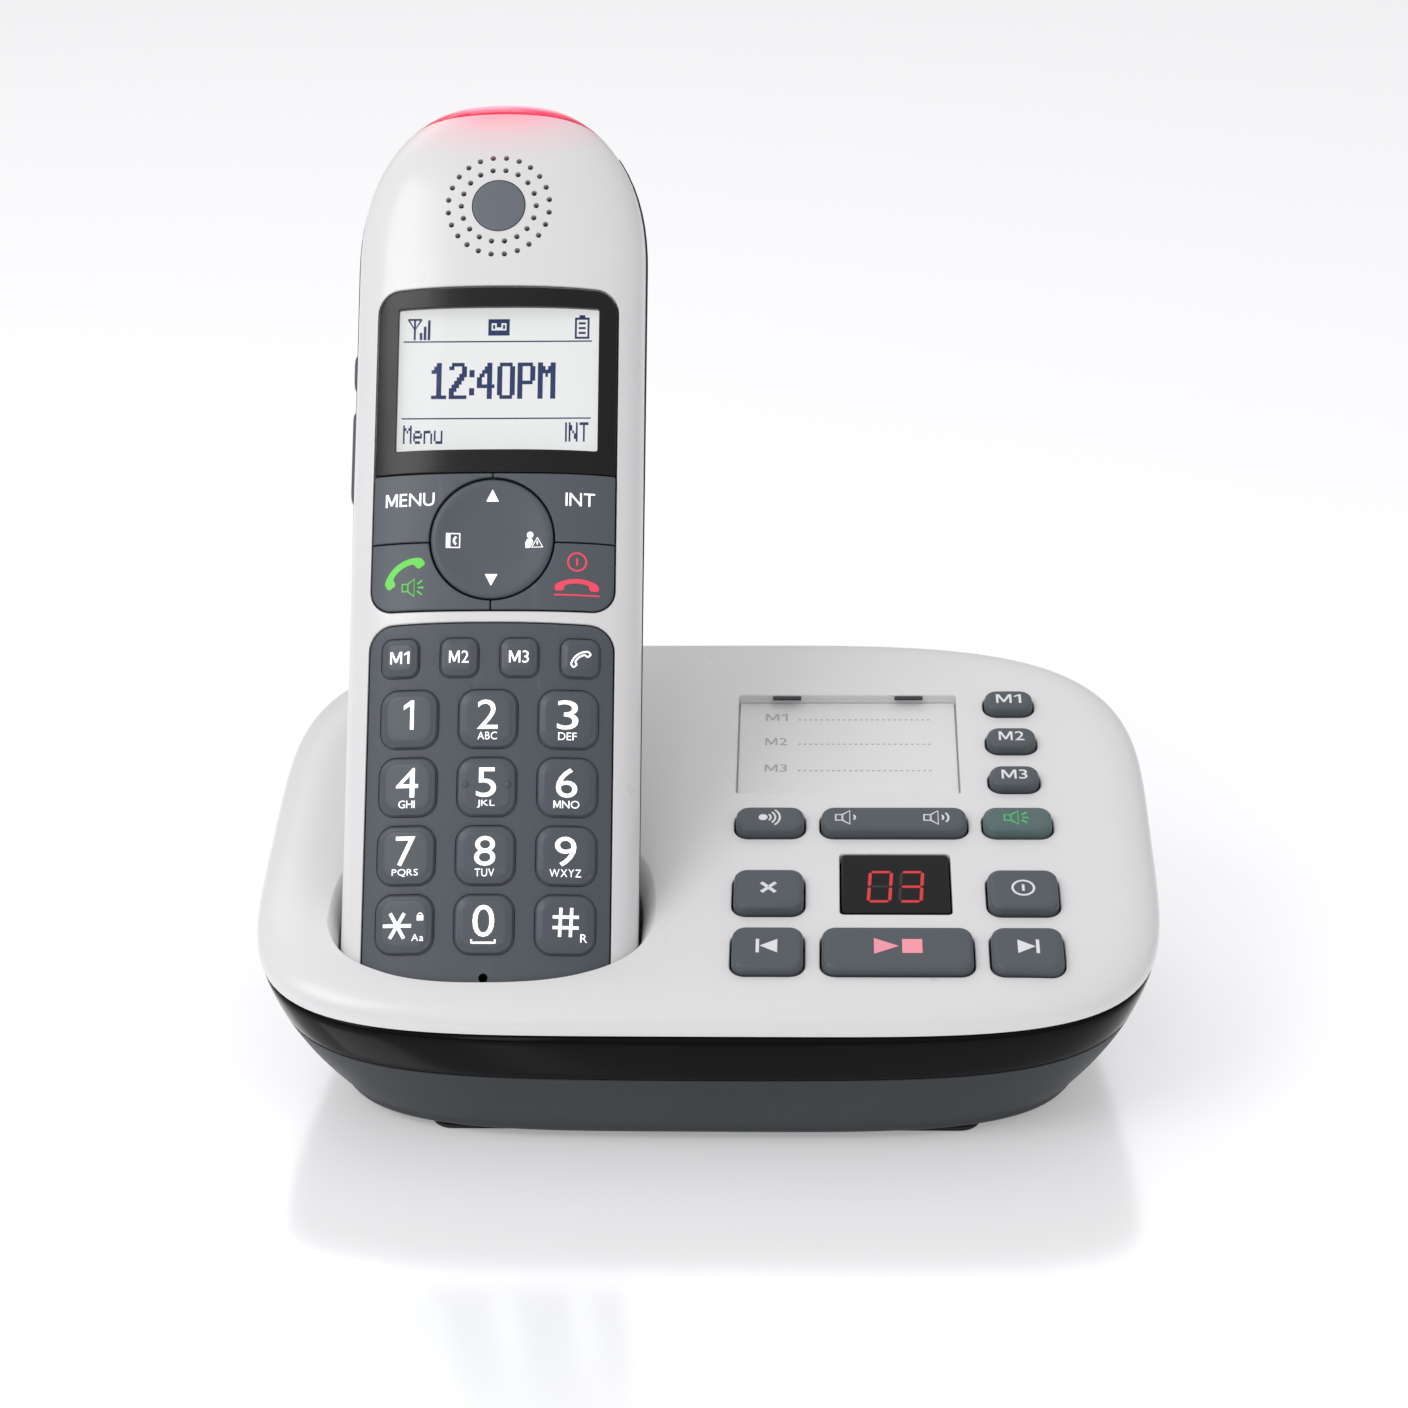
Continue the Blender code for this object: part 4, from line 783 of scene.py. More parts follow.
M_LEFT = [(0, 0), (0.14, 0), (0.14, 0.72), (0.4, 0.1)]
M_TOP = [(0.74, 1), (0.465, 0.33), (0.19, 1), (0, 1)]
DRAWN_LETTERS = {
    "M": [*M_LEFT, (0.53, 0.1), (0.79, 0.72), (0.79, 0), (0.93, 0), (0.93, 1), *M_TOP],
    "1": [(0.27, 0), (0.42, 0), (0.42, 1), (0.3, 1), (0.0, 0.82), (0.0, 0.67), (0.27, 0.82)],
}
CAPITAL_HEIGHT = 0.682
LETTER_GAP = 0.15


def lettering(text, x, y, height, width):
    """Flat letters of a given height and width, centred on a point. Sizes are in millimetres."""
    letters, pen = [], 0.0
    for letter in text:
        if letter in DRAWN_LETTERS:
            mark = draw_out("letter", [[(px, py, z) for px, py in DRAWN_LETTERS[letter]] for z in (-0.1, 0.1)])
        else:
            bpy.ops.object.select_all(action="DESELECT")
            bpy.ops.object.text_add()
            mark = bpy.context.object
            mark.data.body = letter
            mark.data.size = 1 / CAPITAL_HEIGHT
            mark.data.extrude = 0.1
            mark.data.resolution_u = 4
            bpy.ops.object.convert(target="MESH")
            mark = bpy.context.object
            bpy.ops.object.mode_set(mode="EDIT")
            bpy.ops.mesh.select_all(action="SELECT")
            bpy.ops.mesh.remove_doubles(threshold=1e-5)
            bpy.ops.object.mode_set(mode="OBJECT")
        left = min(v.co.x for v in mark.data.vertices)
        for vert in mark.data.vertices:
            vert.co.x += pen - left
        pen = max(v.co.x for v in mark.data.vertices) + LETTER_GAP
        letters.append(mark)
    mark = join("lettering", letters)
    xs = [v.co.x for v in mark.data.vertices]
    ys = [v.co.y for v in mark.data.vertices]
    tall = height / (max(ys) - min(ys))
    wide = width / (max(xs) - min(xs))
    for vert in mark.data.vertices:
        vert.co.x = (x + (vert.co.x - (min(xs) + max(xs)) / 2) * wide) * MM
        vert.co.y = (y + (vert.co.y - (min(ys) + max(ys)) / 2) * tall) * MM
    return flatten(mark)


def stroke(width, points, closed=False):
    """A drawn line of even width through points given in millimetres, with square ends."""
    line = [(x * MM, y * MM, 0) for x, y in points]
    return flatten(tube("stroke", width / 2 * MM, "POLY", line, closed, 1))


def solid(points, cuts=0):
    """A filled shape through points given in millimetres, cut up finely where it has to follow a curve."""
    rings = [[(x * MM, y * MM, z) for x, y in points] for z in (-PRINT_THICKNESS, PRINT_THICKNESS)]
    mark = draw_out("solid", rings)
    if cuts:
        only(mark)
        bpy.ops.object.mode_set(mode="EDIT")
        bpy.ops.mesh.select_all(action="SELECT")
        bpy.ops.mesh.quads_convert_to_tris()
        bpy.ops.mesh.subdivide(number_cuts=cuts)
        bpy.ops.object.mode_set(mode="OBJECT")
    return mark


def arc(x, y, radius, start, end, count=12):
    """Points on an arc, its angles in degrees from the right."""
    angles = [math.radians(start + (end - start) * i / count) for i in range(count + 1)]
    return [(x + radius * math.cos(a), y + radius * math.sin(a)) for a in angles]


def span(x0, y0, x1, y1, count=8):
    """Points on a straight line."""
    return [(x0 + (x1 - x0) * i / count, y0 + (y1 - y0) * i / count) for i in range(count + 1)]


def disc(x, y, radius):
    return solid(arc(x, y, radius, 0, 345, 23))


def turned(name, profile, x, y, count=24):
    """A round piece about a point, in millimetres. Its profile gives the radius and height of each ring."""
    rings = []
    for radius, level in profile:
        ring = arc(x, y, radius, 0, 360 - 360 / count, count - 1)
        rings.append([(px * MM, py * MM, level * MM) for px, py in ring])
    return draw_out(name, rings)


def rectangle(x, y, width, height):
    w, h = width / 2, height / 2
    return solid([(x - w, y - h), (x + w, y - h), (x + w, y + h), (x - w, y + h)])


card_paper = moulded("card_paper", (0.80, 0.79, 0.79), 0.8, 0.12, 0.02, cloudiness=0.06)
print_grey = moulded("print_grey", (0.36, 0.37, 0.39), 0.6, 0.1, 0.005)
card_low = (CARD_LOW[0] + 0.3 * MM, CARD_LOW[1] + 0.3 * MM, CARD_TOP - 0.3 * MM)
card = block("card", card_low, (CARD_HIGH[0] - 0.3 * MM, CARD_HIGH[1] - 0.3 * MM, CARD_TOP))
fit(set_down(smooth(card), DECK), "base", card_paper, "paper", "memory_card")

marks = []
for i, y in enumerate((34.6, 27.0, 18.9)):
    marks.append(lettering(f"M{i + 1}", 12.3, y, 2.2, 4.3))
    for k in range(24):
        marks.append(rectangle(16.8 + k * 1.1, y - 0.8, 0.5, 0.28))
card_print = lay_on(join("card_print", marks), card, DECK)
fit(card_print, "base", print_grey, "paper")

clear_acrylic = moulded("clear_acrylic", (0.95, 0.96, 0.96), 0.04, 3.0, 0.002, cloudiness=0.05)
adjust(clear_acrylic, "Alpha", 0.1)
rings = []
for inset, level in ((0.1, 0.35), (0.0, 0.45), (0.0, 1.0), (0.1, 1.1), (0.35, 1.14)):
    ring = rounded(card_size[0] - (0.7 + 2 * inset) * MM, card_size[1] - (0.7 + 2 * inset) * MM, 0.5 * MM)
    rings.append([(card_middle[0] + x, card_middle[1] + y, CARD_TOP + level * MM) for x, y in ring])
card_window = set_down(draw_out("card_window", rings), DECK)
fit(smooth(card_window), "base", clear_acrylic, "clear_acrylic", "memory_card_window")

tabs = []
for x in (14.3, 38.3):
    low = ((x - 2.8) * MM, CARD_HIGH[1] - 1.0 * MM, CARD_TOP + 1.3 * MM)
    high = ((x + 2.8) * MM, CARD_HIGH[1] - 0.05 * MM, CARD_TOP + 1.75 * MM)
    tabs.append(block("tab", low, high))
window_tabs = join("card_window_tabs", tabs)


def soften(piece, width):
    """Rounds a piece's edges over."""
    only(piece)
    bevel = piece.modifiers.new("soften", "BEVEL")
    bevel.width = width
    bevel.segments = 3
    bevel.limit_method = "ANGLE"
    bpy.ops.object.modifier_apply(modifier=bevel.name)


soften(window_tabs, 0.15 * MM)
fit(set_down(smooth(window_tabs), DECK), "base", dark_shell, "dark_grey_abs")

# ---- The message display ----
# A two-figure seven-segment module shows red figures through a smoked acrylic window. The window is
# glued in flush with the deck.

smoked = moulded("smoked_window", (0.002, 0.002, 0.0025), 0.06, 3.0, 0.002, cloudiness=0.1)
adjust(smoked, "Specular IOR Level", 0.25)
PANE_PROFILE = ((0.0, -1.8), (0.0, -0.3), (0.08, -0.08), (0.3, 0.0))
display_place, display_size = (KEY_COLUMNS[1] / MM, DISPLAY_UP / MM), (DISPLAY_SIZE[0] / MM, DISPLAY_SIZE[1] / MM)
display_window = plate("display_window", PANE_PROFILE, display_place, display_size, 0.7, shrink=0.0)
fit(smooth(set_down(display_window, DECK)), "base", smoked, "smoked_window", "message_display_window")
repaint(black_nylon, "message_display")


def glowing(name, colour, strength, base=None):
    """A mark that shines evenly, with the grain of its ink."""
    material = moulded(name, base or colour, 0.4, 0.15, 0.003, cloudiness=0.08)
    shader = material.node_tree.nodes["Principled BSDF"]
    if base:
        shader.inputs["Emission Color"].default_value = (*colour, 1)
    else:
        finish = material.node_tree.nodes["finish"]
        material.node_tree.links.new(finish.outputs["Colour"], shader.inputs["Emission Color"])
    shader.inputs["Emission Strength"].default_value = strength
    return material


def segment(x, y, length, upright):
    """One bar of a figure, 0.6 mm wide and pointed at both ends. The figure leans to the right."""
    slant, half, w = 0.06, length / 2, 0.3
    points = [(-half, 0), (-half + w, -w), (half - w, -w), (half, 0), (half - w, w), (-half + w, w)]
    if upright:
        points = [(-py, px) for px, py in points]
    return solid([(x + px + (y + py) * slant, y + py) for px, py in points])


SEGMENTS = {
    "a": (0, 4.0, 3.6, False),
    "b": (1.95, 2.0, 3.7, True),
    "c": (1.95, -2.0, 3.7, True),
    "d": (0, -4.0, 3.6, False),
    "e": (-1.95, -2.0, 3.7, True),
    "f": (-1.95, 2.0, 3.7, True),
    "g": (0, 0.0, 3.6, False),
}
lit, unlit = [], []
for offset, shown in ((-2.85, "abcdef"), (2.85, "abcdg")):
    for letter, (px, py, length, upright) in SEGMENTS.items():
        bar = segment(px, py, length, upright)
        for vert in bar.data.vertices:
            vert.co.x += KEY_COLUMNS[1] + offset * MM
            vert.co.y += DISPLAY_UP - 0.9 * MM
        (lit if letter in shown else unlit).append(bar)
lit_red = glowing("lit_red", (0.70, 0.02, 0.028), 0.85, (0.06, 0.004, 0.004))
dim_red = moulded("dim_red", (0.02, 0.003, 0.003), 0.2)
for name, bars, material in (("message_figures", lit, lit_red), ("message_figures_off", unlit, dim_red)):
    figures = lay_on(join(name, bars), display_window, DECK)
    fit(figures, "base", material, "display_module")

# ---- The base's keys ----
# Soft grey silicone keys with printed legends, each standing 2 mm out of its hole and sprung from
# below. The volume key rocks, and the loudspeaker key is tinted green.

BASE_KEY_PROFILE = ((0, -8.2), (0, 0.0), (0.05, 1.0), (0.16, 1.45), (0.35, 1.72), (0.62, 1.88), (1.0, 1.97), (1.6, 2.0))
KEY_TOP = (0.074, 0.088, 0.102)
# The keys' lighter edge colour is a painted highlight along their edges.
base_key_rubber = moulded("base_key_rubber", KEY_TOP, 0.5, 0.3, 0.02, 0.35, (0.17, 0.19, 0.21))
speaker_key_rubber = moulded("speaker_key_rubber", (0.085, 0.135, 0.135), 0.5, 0.3, 0.02, 0.35, (0.15, 0.20, 0.20))
# The base keys' printed legends get a faint painted glow through emission. They are not lit.
legend_white = glowing("legend_white", (0.72, 0.73, 0.74), 0.08)
legend_green = glowing("legend_green", (0.05, 0.50, 0.16), 0.2)
legend_pink = glowing("legend_pink", (0.80, 0.27, 0.34), 0.2)


def speaker_sign(x, y, size, waves, line):
    """A loudspeaker in outline with its sound waves."""
    s = size
    back = [(-1.0, -0.35), (-0.45, -0.35), (-0.45, 0.35), (-1.0, 0.35)]
    horn = [(-0.45, -0.35), (0.15, -0.85), (0.15, 0.85), (-0.45, 0.35)]
    marks = [stroke(line, [(x + px * s, y + py * s) for px, py in shape], True) for shape in (back, horn)]
    if waves == "rays":
        for angle in (-32, 0, 32):
            c, r = math.cos(math.radians(angle)), math.sin(math.radians(angle))
            ray = span(x + (0.1 + 0.42 * c) * s, y + 0.62 * r * s, x + (0.1 + 0.95 * c) * s, y + 1.3 * r * s, 3)
            marks.append(stroke(line, ray))
    else:
        for i in range(waves):
            marks.append(stroke(line, arc(x + 0.15 * s, y, (0.42 + 0.42 * i) * s, -42, 42)))
    return marks


def base_legends(name):
    """The printed marks on one of the base's keys."""
    x, y = BASE_KEYS[name][:2]
    if name.startswith("memory"):
        return [lettering("M" + name[-1], x, y, 2.7, 4.9)]
    if name == "page":
        waves = [stroke(0.42, arc(x - 1.0, y, 1.15 + 0.85 * i, -48, 48)) for i in range(3)]
        return waves + [disc(x - 1.3, y, 0.85)]
    if name == "volume":
        return speaker_sign(x - 8.6, y, 2.3, 1, 0.42) + speaker_sign(x + 7.9, y, 2.3, 2, 0.42)
    if name == "speaker":
        return speaker_sign(x - 0.3, y, 2.2, "rays", 0.4)
    if name == "delete":
        return [stroke(0.8, span(x - 1.3, y + s * 1.3, x + 1.3, y - s * 1.3)) for s in (-1, 1)]
    if name == "power":
        return [stroke(0.5, arc(x, y, 1.95, 0, 350, 28), True), stroke(0.55, span(x, y - 0.85, x, y + 0.85))]
    if name == "play":
        return [solid([(x - 4.2, y - 2.05), (x + 0.2, y), (x - 4.2, y + 2.05)]), rectangle(x + 2.6, y, 3.6, 3.6)]
    side = -1 if name == "previous" else 1
    tip = [(x - 1.8 * side, y - 1.75), (x + 1.35 * side, y), (x - 1.8 * side, y + 1.75)]
    return [solid(tip), rectangle(x + 1.75 * side, y, 0.6, 3.5)]


for name, (x, y, width, height) in BASE_KEYS.items():
    corner = BASE_KEY_CORNER / MM
    key = plate(f"key_{name}", BASE_KEY_PROFILE, (x, y), (width, height), corner, shrink=0.8, least=0.4)
    set_down(key, DECK)
    rubber = speaker_key_rubber if name == "speaker" else base_key_rubber
    fit(smooth(key, 50), f"base_key_{name}", rubber, "base_key_grey", f"base_key_{name}")
    ink = {"speaker": legend_green, "play": legend_pink}.get(name, legend_white)
    legend = lay_on(join(f"legend_{name}", base_legends(name)), key, DECK)
    fit(legend, f"base_key_{name}", ink, "base_key_grey")

# ---- The charging contacts ----
# Two nickel-plated pins stand in holes in the cradle's floor. Springs below press them against the
# handset's pads.

contact_nickel = metal("contact_nickel", (0.78, 0.76, 0.70), 0.18)
CONTACT_PROFILE = ((1.25, -13.0), (1.25, -7.0), (1.18, -6.65), (0.95, -6.42), (0.5, -6.31))
for name, side in (("left", -1), ("right", 1)):
    rings = []
    for radius, level in CONTACT_PROFILE:
        ring = circle(side * CONTACT_SPREAD, FRONT_DEPTH + GAP, radius * MM)
        rings.append([(x, y, level * MM) for x, y in ring])
    contact = set_down(draw_out(f"contact_{name}", rings), HANDSET)
    fit(smooth(contact), f"charging_contact_{name}", contact_nickel, "contact_metal", f"charging_contact_{name}")

# ---- The handset's rear shell ----
# A grained dark grey ABS moulding with the battery compartment, the openings for the side keys and a
# loudspeaker grille. A small bead runs along its seam, where it clips into the front shell.

HANDSET_WALL = 2.0 * MM
DOOR_LOW, DOOR_HIGH, DOOR_HALF_WIDTH, DOOR_CORNER = 60.0 * MM, 120.0 * MM, 17.5 * MM, 3.0 * MM
SIDE_KEYS = {"boost": (111.9 * MM, 119.0 * MM), "volume": (90.0 * MM, 107.9 * MM)}
SIDE_KEY_DEPTH = 13.4 * MM
SIDE_KEY_WIDTH = 4.6 * MM
RING_HALF_WIDTH = 21.5 * MM
RING_DIP = 5.8 * MM
RING_BEHIND = 3.5 * MM


def stations(offset=0.0):
    """Places along the handset for its sections: close together where its ends round off."""
    low = -HANDSET_SUNK - offset
    places = [low + BOTTOM_ROUND * (1 - math.cos(math.radians(a))) for a in range(0, 91, 15)]
    top = HANDSET_TOP + offset
    arc_reach = TOP_ARC + offset
    steps = list(range(0, 80, 5)) + [81, 83, 85, 86.5, 88]
    return places + [top - arc_reach * (1 - math.sin(math.radians(a))) for a in steps]


def half_shell(name, half, parting):
    """One of the handset's two mouldings, closed at the parting plane and then hollowed."""

    def half_ring(along, offset, level):
        points = section(along, offset, half)
        points[0] = (points[0][0], level, points[0][2])
        points[-1] = (points[-1][0], level, points[-1][2])
        return points

    past = parting + (1.0 * MM if half == "front" else -1.0 * MM)
    shell = draw_out(name, [half_ring(z, 0.0, parting) for z in stations()])
    return combine(shell, draw_out("hollow", [half_ring(z, -HANDSET_WALL, past) for z in stations(-HANDSET_WALL)]))


def ring_light_prism(gap):
    """The crescent taken out of the handset's top for the ring light, seen along the handset."""
    width = RING_HALF_WIDTH + gap
    front_edge = []
    for i in range(49):
        share = -1 + i / 24
        front_edge.append((width * share, FRONT_DEPTH - RING_DIP * (1 - abs(share) ** 3) - gap))
    back = FRONT_DEPTH + RING_BEHIND + gap
    ring = front_edge + [(width, back), (-width, back)]
    low = HANDSET_TOP - TOP_ARC * 0.55 - gap
    return draw_out("prism", [[(x, y, z) for x, y in ring] for z in (low, HANDSET_TOP + 10 * MM)])


def side_ring(low, high, grow, steps=6):
    ring = rounded(SIDE_KEY_WIDTH + 2 * grow, high - low + 2 * grow, 1.8 * MM + grow, steps)
    return [(y + SIDE_KEY_DEPTH, z + (low + high) / 2) for y, z in ring]


def to_triangles(piece):
    """Cuts a piece's faces into triangles, so that each one is flat."""
    only(piece)
    bpy.ops.object.mode_set(mode="EDIT")
    bpy.ops.mesh.select_all(action="SELECT")
    bpy.ops.mesh.quads_convert_to_tris()
    bpy.ops.object.mode_set(mode="OBJECT")


SEAM_BEAD = 0.4 * MM
SEAM_BEAD_DEPTH = 3.5 * MM
BEAD_START, BEAD_RUN_IN = 15 * MM, 12 * MM
WALL_REACH = 15 * MM

rear_shell = half_shell("rear_shell", "rear", FRONT_DEPTH + GAP)
for vert in rear_shell.data.vertices:
    x, y, z = vert.co
    above = z - (HANDSET_TOP - TOP_ARC)
    out = Vector((x, 0, above)) if above > 0 else Vector((x, 0, 0))
    if out.length > WALL_REACH:
        share = max(0.0, 1 - (y - FRONT_DEPTH) / SEAM_BEAD_DEPTH) * min(1.0, max(0.0, (z - BEAD_START) / BEAD_RUN_IN))
        vert.co += out.normalized() * SEAM_BEAD * share
to_triangles(rear_shell)
combine(rear_shell, ring_light_prism(GAP / 2))
for low, high in SIDE_KEYS.values():
    ring = side_ring(low, high, GAP)
    ends = (-HANDSET_HALF_WIDTH - 5 * MM, -18 * MM)
    combine(rear_shell, draw_out("hole", [[(x, y, z) for y, z in ring] for x in ends]))
ring = rounded(2 * (DOOR_HALF_WIDTH + GAP), DOOR_HIGH - DOOR_LOW + 2 * GAP, DOOR_CORNER + GAP)
middle = (DOOR_LOW + DOOR_HIGH) / 2
combine(rear_shell, draw_out("hole", [[(x, y, z + middle) for x, z in ring] for y in (18 * MM, 31 * MM)]))
holes = []
for row in range(-2, 3):
    for column in range(-4 + abs(row), 5 - abs(row), 2):
        ring = circle(column * 1.7 * MM, (138 + row * 3.0) * MM, 0.8 * MM, 12)
        holes.append(draw_out("hole", [[(x, y, z) for x, z in ring] for y in (15 * MM, 31 * MM)]))
combine(rear_shell, join("grille", holes))
smooth(rear_shell)
fit(set_down(rear_shell, HANDSET), "handset", dark_shell, "dark_grey_abs", "handset_rear_shell")

# ---- The handset's front shell ----
# The same white ABS as the deck, with two openings in its face. Two rings of sound holes surround the
# earpiece's disc. The ring light's red glow on the plastic round it at the top is painted in, as a pink
# tint and an emission.

PANEL_HALF_WIDTH = 22.2 * MM
PANEL_TOP = 64.3 * MM
PANEL_BOTTOM = -2.0 * MM
PANEL_CORNER = 4.5 * MM
PANEL_GAP = 0.25 * MM
CONTROLS_BOTTOM = 67.1 * MM
CONTROLS_TOP = 92.7 * MM
CONTROLS_CORNER = 4.0 * MM
WINDOW_TOP = 128.0 * MM
ARCH_RISE = 0.3 * MM
EARPIECE_UP = 144.1
FACE_REACH, FINE_STRIP = 22 * MM, 0.8 * MM
FACE = HANDSET @ Matrix.Rotation(math.radians(90), 4, "X")


def face_depth(x):
    """How far the handset's face has curved back at a place across it."""
    share = min(abs(x) / HANDSET_HALF_WIDTH, 0.999)
    return FRONT_DEPTH * (1 - (1 - share**FACE_SQUARENESS) ** (1 / FACE_SQUARENESS))


def opening_ring(bottom, top, corner, grow, top_corner=None):
    """The outline of an opening in the handset's face, grown or shrunk all round."""
    upper = corner if top_corner is None else top_corner
    size = (2 * (PANEL_HALF_WIDTH + grow), top - bottom + 2 * grow)
    ring = rounded(*size, max(corner + grow, 0.2 * MM), 8, upper + grow, ARCH_RISE)
    return [(x, y + (top + bottom) / 2) for x, y in ring]


def curve_to_face(piece, reach, step=1.0 * MM, surface=face_depth):
    """Slices a flat piece into strips and lets them follow the curve of the handset's face."""
    only(piece)
    bpy.ops.object.mode_set(mode="EDIT")
    cut = -reach
    while cut <= reach:
        bpy.ops.mesh.select_all(action="SELECT")
        bpy.ops.mesh.bisect(plane_co=(cut, 0, 0), plane_no=(1, 0, 0), threshold=1e-7)
        cut += step
    bpy.ops.mesh.select_all(action="SELECT")
    bpy.ops.mesh.quads_convert_to_tris()
    bpy.ops.object.mode_set(mode="OBJECT")
    for vert in piece.data.vertices:
        vert.co.z -= surface(vert.co.x)
    return piece


def face_tool(ring_at):
    """A tool that cuts an opening with a softened edge through the curved face."""
    rings = []
    for grow, level in ((0, -8.0), (0, -0.4), (0.05, -0.2), (0.13, -0.08), (0.34, 0.02), (1.2, 1.0)):
        rings.append([(x, y, level * MM) for x, y in ring_at(grow * MM)])
    return curve_to_face(draw_out("opening", rings), 24 * MM)


front_shell = set_down(half_shell("front_shell", "front", FRONT_DEPTH), HANDSET)
combine(front_shell, set_down(ring_light_prism(GAP / 2), HANDSET))
tool = face_tool(lambda grow: opening_ring(PANEL_BOTTOM, PANEL_TOP, 1.0 * MM, PANEL_GAP + grow, PANEL_CORNER))
combine(front_shell, set_down(tool, FACE))
tool = face_tool(lambda grow: opening_ring(CONTROLS_BOTTOM, WINDOW_TOP, CONTROLS_CORNER, PANEL_GAP + grow))
combine(front_shell, set_down(tool, FACE))
holes = []
for radius, count, size, sides in ((0.0, 1, 5.05, 48), (7.0, 18, 0.53, 12), (9.5, 24, 0.53, 12)):
    for i in range(count):
        spot = 2 * math.pi * (i + 0.5) / count
        place = (radius * math.sin(spot), EARPIECE_UP + radius * math.cos(spot))
        holes.append(turned("hole", ((size, -4), (size, 2)), *place, sides))
combine(front_shell, set_down(join("sound_holes", holes), FACE))
smooth(front_shell)

shell_painted_glow = white_shell.copy()
shell_painted_glow.name = "shell_painted_glow"
tree = shell_painted_glow.node_tree
shader = tree.nodes["Principled BSDF"]
# Painted glow: the white plastic near the ring light is tinted pink and given emission, both fading with distance from
# the light.
about_light = {
    "Vector": add_node(tree, "TexCoord").outputs["Object"],
    "Location": HANDSET @ Vector((0, FRONT_DEPTH - 4 * MM, HANDSET_TOP)),
    "Rotation": HANDSET.to_euler(),
    "Scale": (25 * MM, 12 * MM, 17 * MM),
}
placed = add_node(tree, "Mapping", about_light, vector_type="TEXTURE").outputs["Vector"]
nearness = add_node(tree, "TexGradient", {"Vector": placed}, gradient_type="SPHERICAL").outputs["Fac"]
painted_glow_ramp = add_node(tree, "ValToRGB", {"Fac": nearness})
painted_glow_ramp.color_ramp.elements[0].color = (0, 0, 0, 1)
painted_glow_ramp.color_ramp.elements[1].color = (0.95, 0.95, 0.95, 1)
painted_glow_ramp.color_ramp.elements[1].position = 0.8
painted_glow_ramp.color_ramp.elements.new(0.35).color = (0.22, 0.22, 0.22, 1)
tinted = {"Factor": painted_glow_ramp.outputs["Color"], "A": tree.nodes["finish"].outputs["Colour"], "B": (0.90, 0.30, 0.38, 1)}
painted_glow_tint = add_node(tree, "Mix", tinted, data_type="RGBA")
tree.links.new(painted_glow_tint.outputs["Result"], shader.inputs["Base Color"])
shining = {"Factor": painted_glow_ramp.outputs["Color"], "A": (0, 0, 0, 1), "B": (0.9, 0.10, 0.18, 1)}
painted_glow_emission = add_node(tree, "Mix", shining, data_type="RGBA")
tree.links.new(painted_glow_emission.outputs["Result"], shader.inputs["Emission Color"])
shader.inputs["Emission Strength"].default_value = 0.35
fit(front_shell, "handset", shell_painted_glow, "white_abs", "handset_front_shell")

# ---- The earpiece ----
# A plain grey plastic disc, slightly domed, is glued to the front of the earpiece capsule. A black
# dust cloth lies behind the sound holes.

disc_grey = moulded("disc_grey", (0.125, 0.14, 0.165), 0.42, 0.2, 0.01, 0.3, (0.2, 0.22, 0.24))
CAPSULE = ((10.0, -6.5), (10.0, -3.2), (4.9, -3.1), (4.9, -0.15), (4.78, 0.02), (4.5, 0.08), (3.0, 0.1), (1.0, 0.11))
earpiece = set_down(turned("earpiece_capsule", CAPSULE, 0, EARPIECE_UP, 60), FACE)
fit(smooth(earpiece), "handset", disc_grey, "earpiece_grey", "earpiece")
CLOTH = ((10.4, -3.08), (10.4, -2.7), (5.1, -2.6))
dust_cloth = set_down(turned("earpiece_dust_cloth", CLOTH, 0, EARPIECE_UP, 60), FACE)
fit(smooth(dust_cloth), "handset", black_nylon, "dark_grey_abs")

# ---- The ring light ----
# A crescent of translucent red acrylic between the two shells, lit from inside: pale in its middle
# and deep red along its rims and at its ends.

light_guide = draw_out("light_guide", [section(z) for z in stations()])
combine(light_guide, draw_out("hollow", [section(z, -HANDSET_WALL) for z in stations(-HANDSET_WALL)]))
combine(light_guide, ring_light_prism(-GAP / 2), "INTERSECT")
only(light_guide)
bpy.ops.object.mode_set(mode="EDIT")
for i in range(25):
    bpy.ops.mesh.select_all(action="SELECT")
    bpy.ops.mesh.bisect(plane_co=((i - 12) * 1.5 * MM, 0, 0), plane_no=(1, 0, 0), threshold=1e-7)
for i in range(16):
    bpy.ops.mesh.select_all(action="SELECT")
    bpy.ops.mesh.bisect(plane_co=(0, (4.5 + i * 0.6) * MM, 0), plane_no=(0, 1, 0), threshold=1e-7)
bpy.ops.object.mode_set(mode="OBJECT")
to_triangles(light_guide)
across = light_guide.data.attributes.new("across", "FLOAT", "POINT")
ends = light_guide.data.attributes.new("ends", "FLOAT", "POINT")
for i, vert in enumerate(light_guide.data.vertices):
    share = min(abs(vert.co.x) / RING_HALF_WIDTH, 1.0)
    front_edge = FRONT_DEPTH - RING_DIP * (1 - share**3)
    back = FRONT_DEPTH + RING_BEHIND
    across.data[i].value = (vert.co.y - front_edge) / (back - front_edge)
    ends.data[i].value = share

glow = bpy.data.materials.new("ring_glow")
glow.use_nodes = True
tree = glow.node_tree
shader = tree.nodes["Principled BSDF"]
read_across = add_node(tree, "Attribute", attribute_name="across").outputs["Fac"]
read_ends = add_node(tree, "Attribute", attribute_name="ends").outputs["Fac"]
rims = add_node(tree, "ValToRGB", {"Fac": read_across})
rims.color_ramp.elements[0].color = (0.55, 0.015, 0.05, 1)
rims.color_ramp.elements[1].color = (0.6, 0.02, 0.06, 1)
for position, colour in (
    (0.1, (0.62, 0.05, 0.12)),
    (0.26, (0.84, 0.42, 0.52)),
    (0.5, (0.95, 0.72, 0.78)),
    (0.78, (0.85, 0.42, 0.52)),
):
    rims.color_ramp.elements.new(position).color = (*colour, 1)
fade = add_node(tree, "MapRange", {"Value": read_ends, "From Min": 0.35, "From Max": 0.95}).outputs["Result"]
